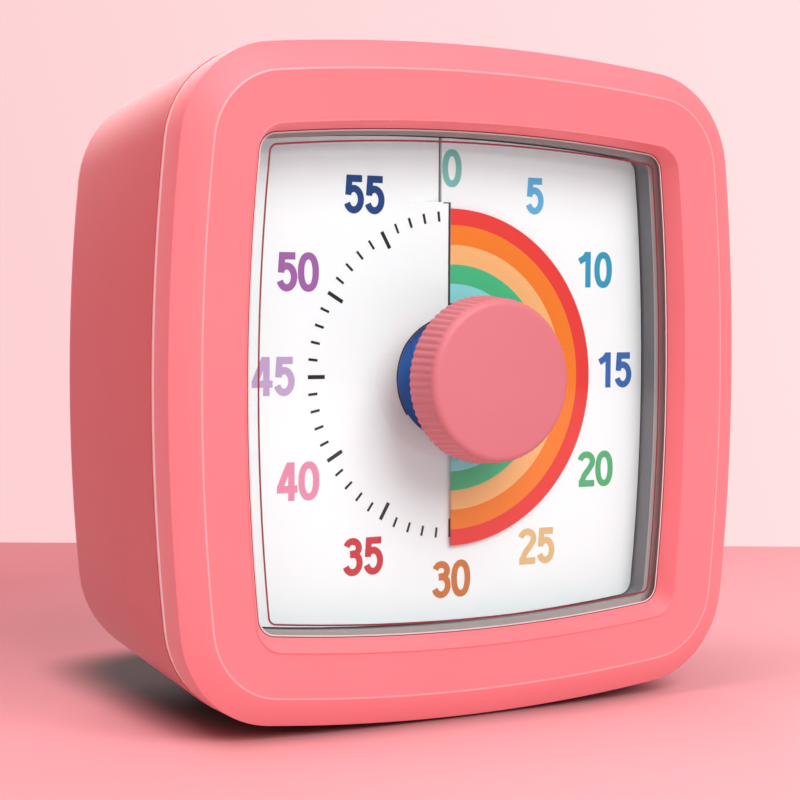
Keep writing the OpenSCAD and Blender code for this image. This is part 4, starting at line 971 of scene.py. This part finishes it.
floor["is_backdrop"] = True
print("table:", floor.name, "with", floor_paper.name)

# %% [markdown]
# ## The light
# The main lamp stands high in front, a smaller one above the left side gives that side its bright upper
# edge, and a weak fill from the left casts no shadow of its own. One more behind shows the back. The
# world is a soft light that is stronger from above and in front. What the camera, a mirror image or the
# window sees of it is a pale tint instead, which Light Path can tell apart.

# %% The world as a soft light and a backdrop
BRIGHT_SIDE, DIM, BRIGHT = Vector((0.0, -0.55, 0.83)), 0.06, 0.36  # a direction and two strengths
RIGHTWARDS, SIDE_FADE = Vector((math.cos(LOOK), -math.sin(LOOK), 0.25)), (-0.2, 0.2)
MIRRORED_FROM = -0.2  # mirror images see the backdrop in directions whose Y is above this
world = bpy.data.worlds.new("studio")
bpy.context.scene.world = world
world.use_nodes = True
tree = world.node_tree
tree.nodes.clear()
direction = add(tree, "ShaderNodeTexCoord").outputs["Generated"]
path = add(tree, "ShaderNodeLightPath").outputs
backward = add(tree, "ShaderNodeSeparateXYZ", {"Vector": direction}).outputs["Y"]
behind = calculate(tree, "GREATER_THAN", backward, MIRRORED_FROM)
mirrored = calculate(tree, "MULTIPLY", path["Is Glossy Ray"], behind)
seen = calculate(tree, "MAXIMUM", path["Is Camera Ray"], mirrored)
seen = calculate(tree, "MAXIMUM", seen, path["Is Transmission Ray"])
side = remapped(tree, vector_math(tree, "DOT_PRODUCT", direction, RIGHTWARDS), SIDE_FADE)
paper = blended(tree, side, colour("#FED1D4"), colour("#FFE2E3"))
backdrop = add(tree, "ShaderNodeBackground", {"Color": paper, "Strength": 1.0})
towards = vector_math(tree, "DOT_PRODUCT", direction, BRIGHT_SIDE)
level = remapped(tree, towards, (-1.0, 1.0), (DIM, BRIGHT))
ambient = add(tree, "ShaderNodeBackground", {"Color": colour("#E2F7FA"), "Strength": level})
both = add(tree, "ShaderNodeMixShader", {0: seen, 1: ambient.outputs[0], 2: backdrop.outputs[0]})
add(tree, "ShaderNodeOutputWorld", {"Surface": both.outputs[0]})
print("world:", world.name, "with strengths from", DIM, "to", BRIGHT)

# %% Soft lamps
AIMED_AT = Vector((0.0, -0.015, 0.04))  # metres
# degrees to the right of the front, degrees up, metres away, metres wide, watts, and if it casts a shadow
LAMPS = {
    "key": (6, 38, 1.0, 0.7, 9.2, True),
    "left fill": (-38, 10, 1.0, 0.6, 0.3, False),
    "top left": (-100, 70, 0.9, 0.6, 5.0, True),
    "back fill": (165, 24, 0.9, 0.6, 2.8, True),
}


def softbox(name, azimuth, elevation, away, size, watts, shadow):
    """A square area lamp that shines at the timer from a direction given in degrees."""
    turn, lift = math.radians(azimuth), math.radians(elevation)
    towards_lamp = Vector((math.sin(turn) * math.cos(lift), -math.cos(turn) * math.cos(lift), math.sin(lift)))
    lamp = bpy.data.lights.new(name, "AREA")
    lamp.shape, lamp.size, lamp.energy, lamp.use_shadow = "SQUARE", size, watts, shadow
    holder = bpy.data.objects.new(name, lamp)
    bpy.context.scene.collection.objects.link(holder)
    holder.location = AIMED_AT + towards_lamp * away
    holder.rotation_mode = "QUATERNION"
    holder.rotation_quaternion = towards_lamp.to_track_quat("Z", "Y")


for name, numbers in LAMPS.items():
    softbox(name, *numbers)
print("lamps:", ", ".join(LAMPS))

# %% [markdown]
# ## The camera
# A long lens from a little above the table keeps the square face calm and lets the left side show. Its
# place, aim and focal length are real lengths and angles. The aim is turned into a camera rotation by
# building the three axes of the camera by hand: it looks along its own minus Z.

# %% Camera
LENS_MM, SENSOR_MM, PITCH, ROLL = 87.4, 36.0, -2.64, -0.31  # the last two in degrees
NEAREST = 0.01  # metres
pitch = math.radians(PITCH)
forward = Vector((math.sin(LOOK) * math.cos(pitch), math.cos(LOOK) * math.cos(pitch), math.sin(pitch)))
right = forward.cross(Vector((0, 0, 1))).normalized()
up = right.cross(forward)
roll = Matrix.Rotation(math.radians(ROLL), 3, forward)
axes = Matrix((roll @ right, roll @ up, -forward)).transposed()
camera_data = bpy.data.cameras.new("camera")
camera_data.lens, camera_data.sensor_width, camera_data.clip_start = LENS_MM, SENSOR_MM, NEAREST
camera = bpy.data.objects.new("camera", camera_data)
bpy.context.scene.collection.objects.link(camera)
camera.rotation_mode = "QUATERNION"
camera.rotation_quaternion = axes.to_quaternion()
camera.location = EYE
bpy.context.scene.camera = camera
bpy.context.scene.view_settings.view_transform = "Standard"
print("camera", [round(c, 4) for c in camera.location], "lens", camera_data.lens)

# %% Measure the boxes of the shown pieces
low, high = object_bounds()
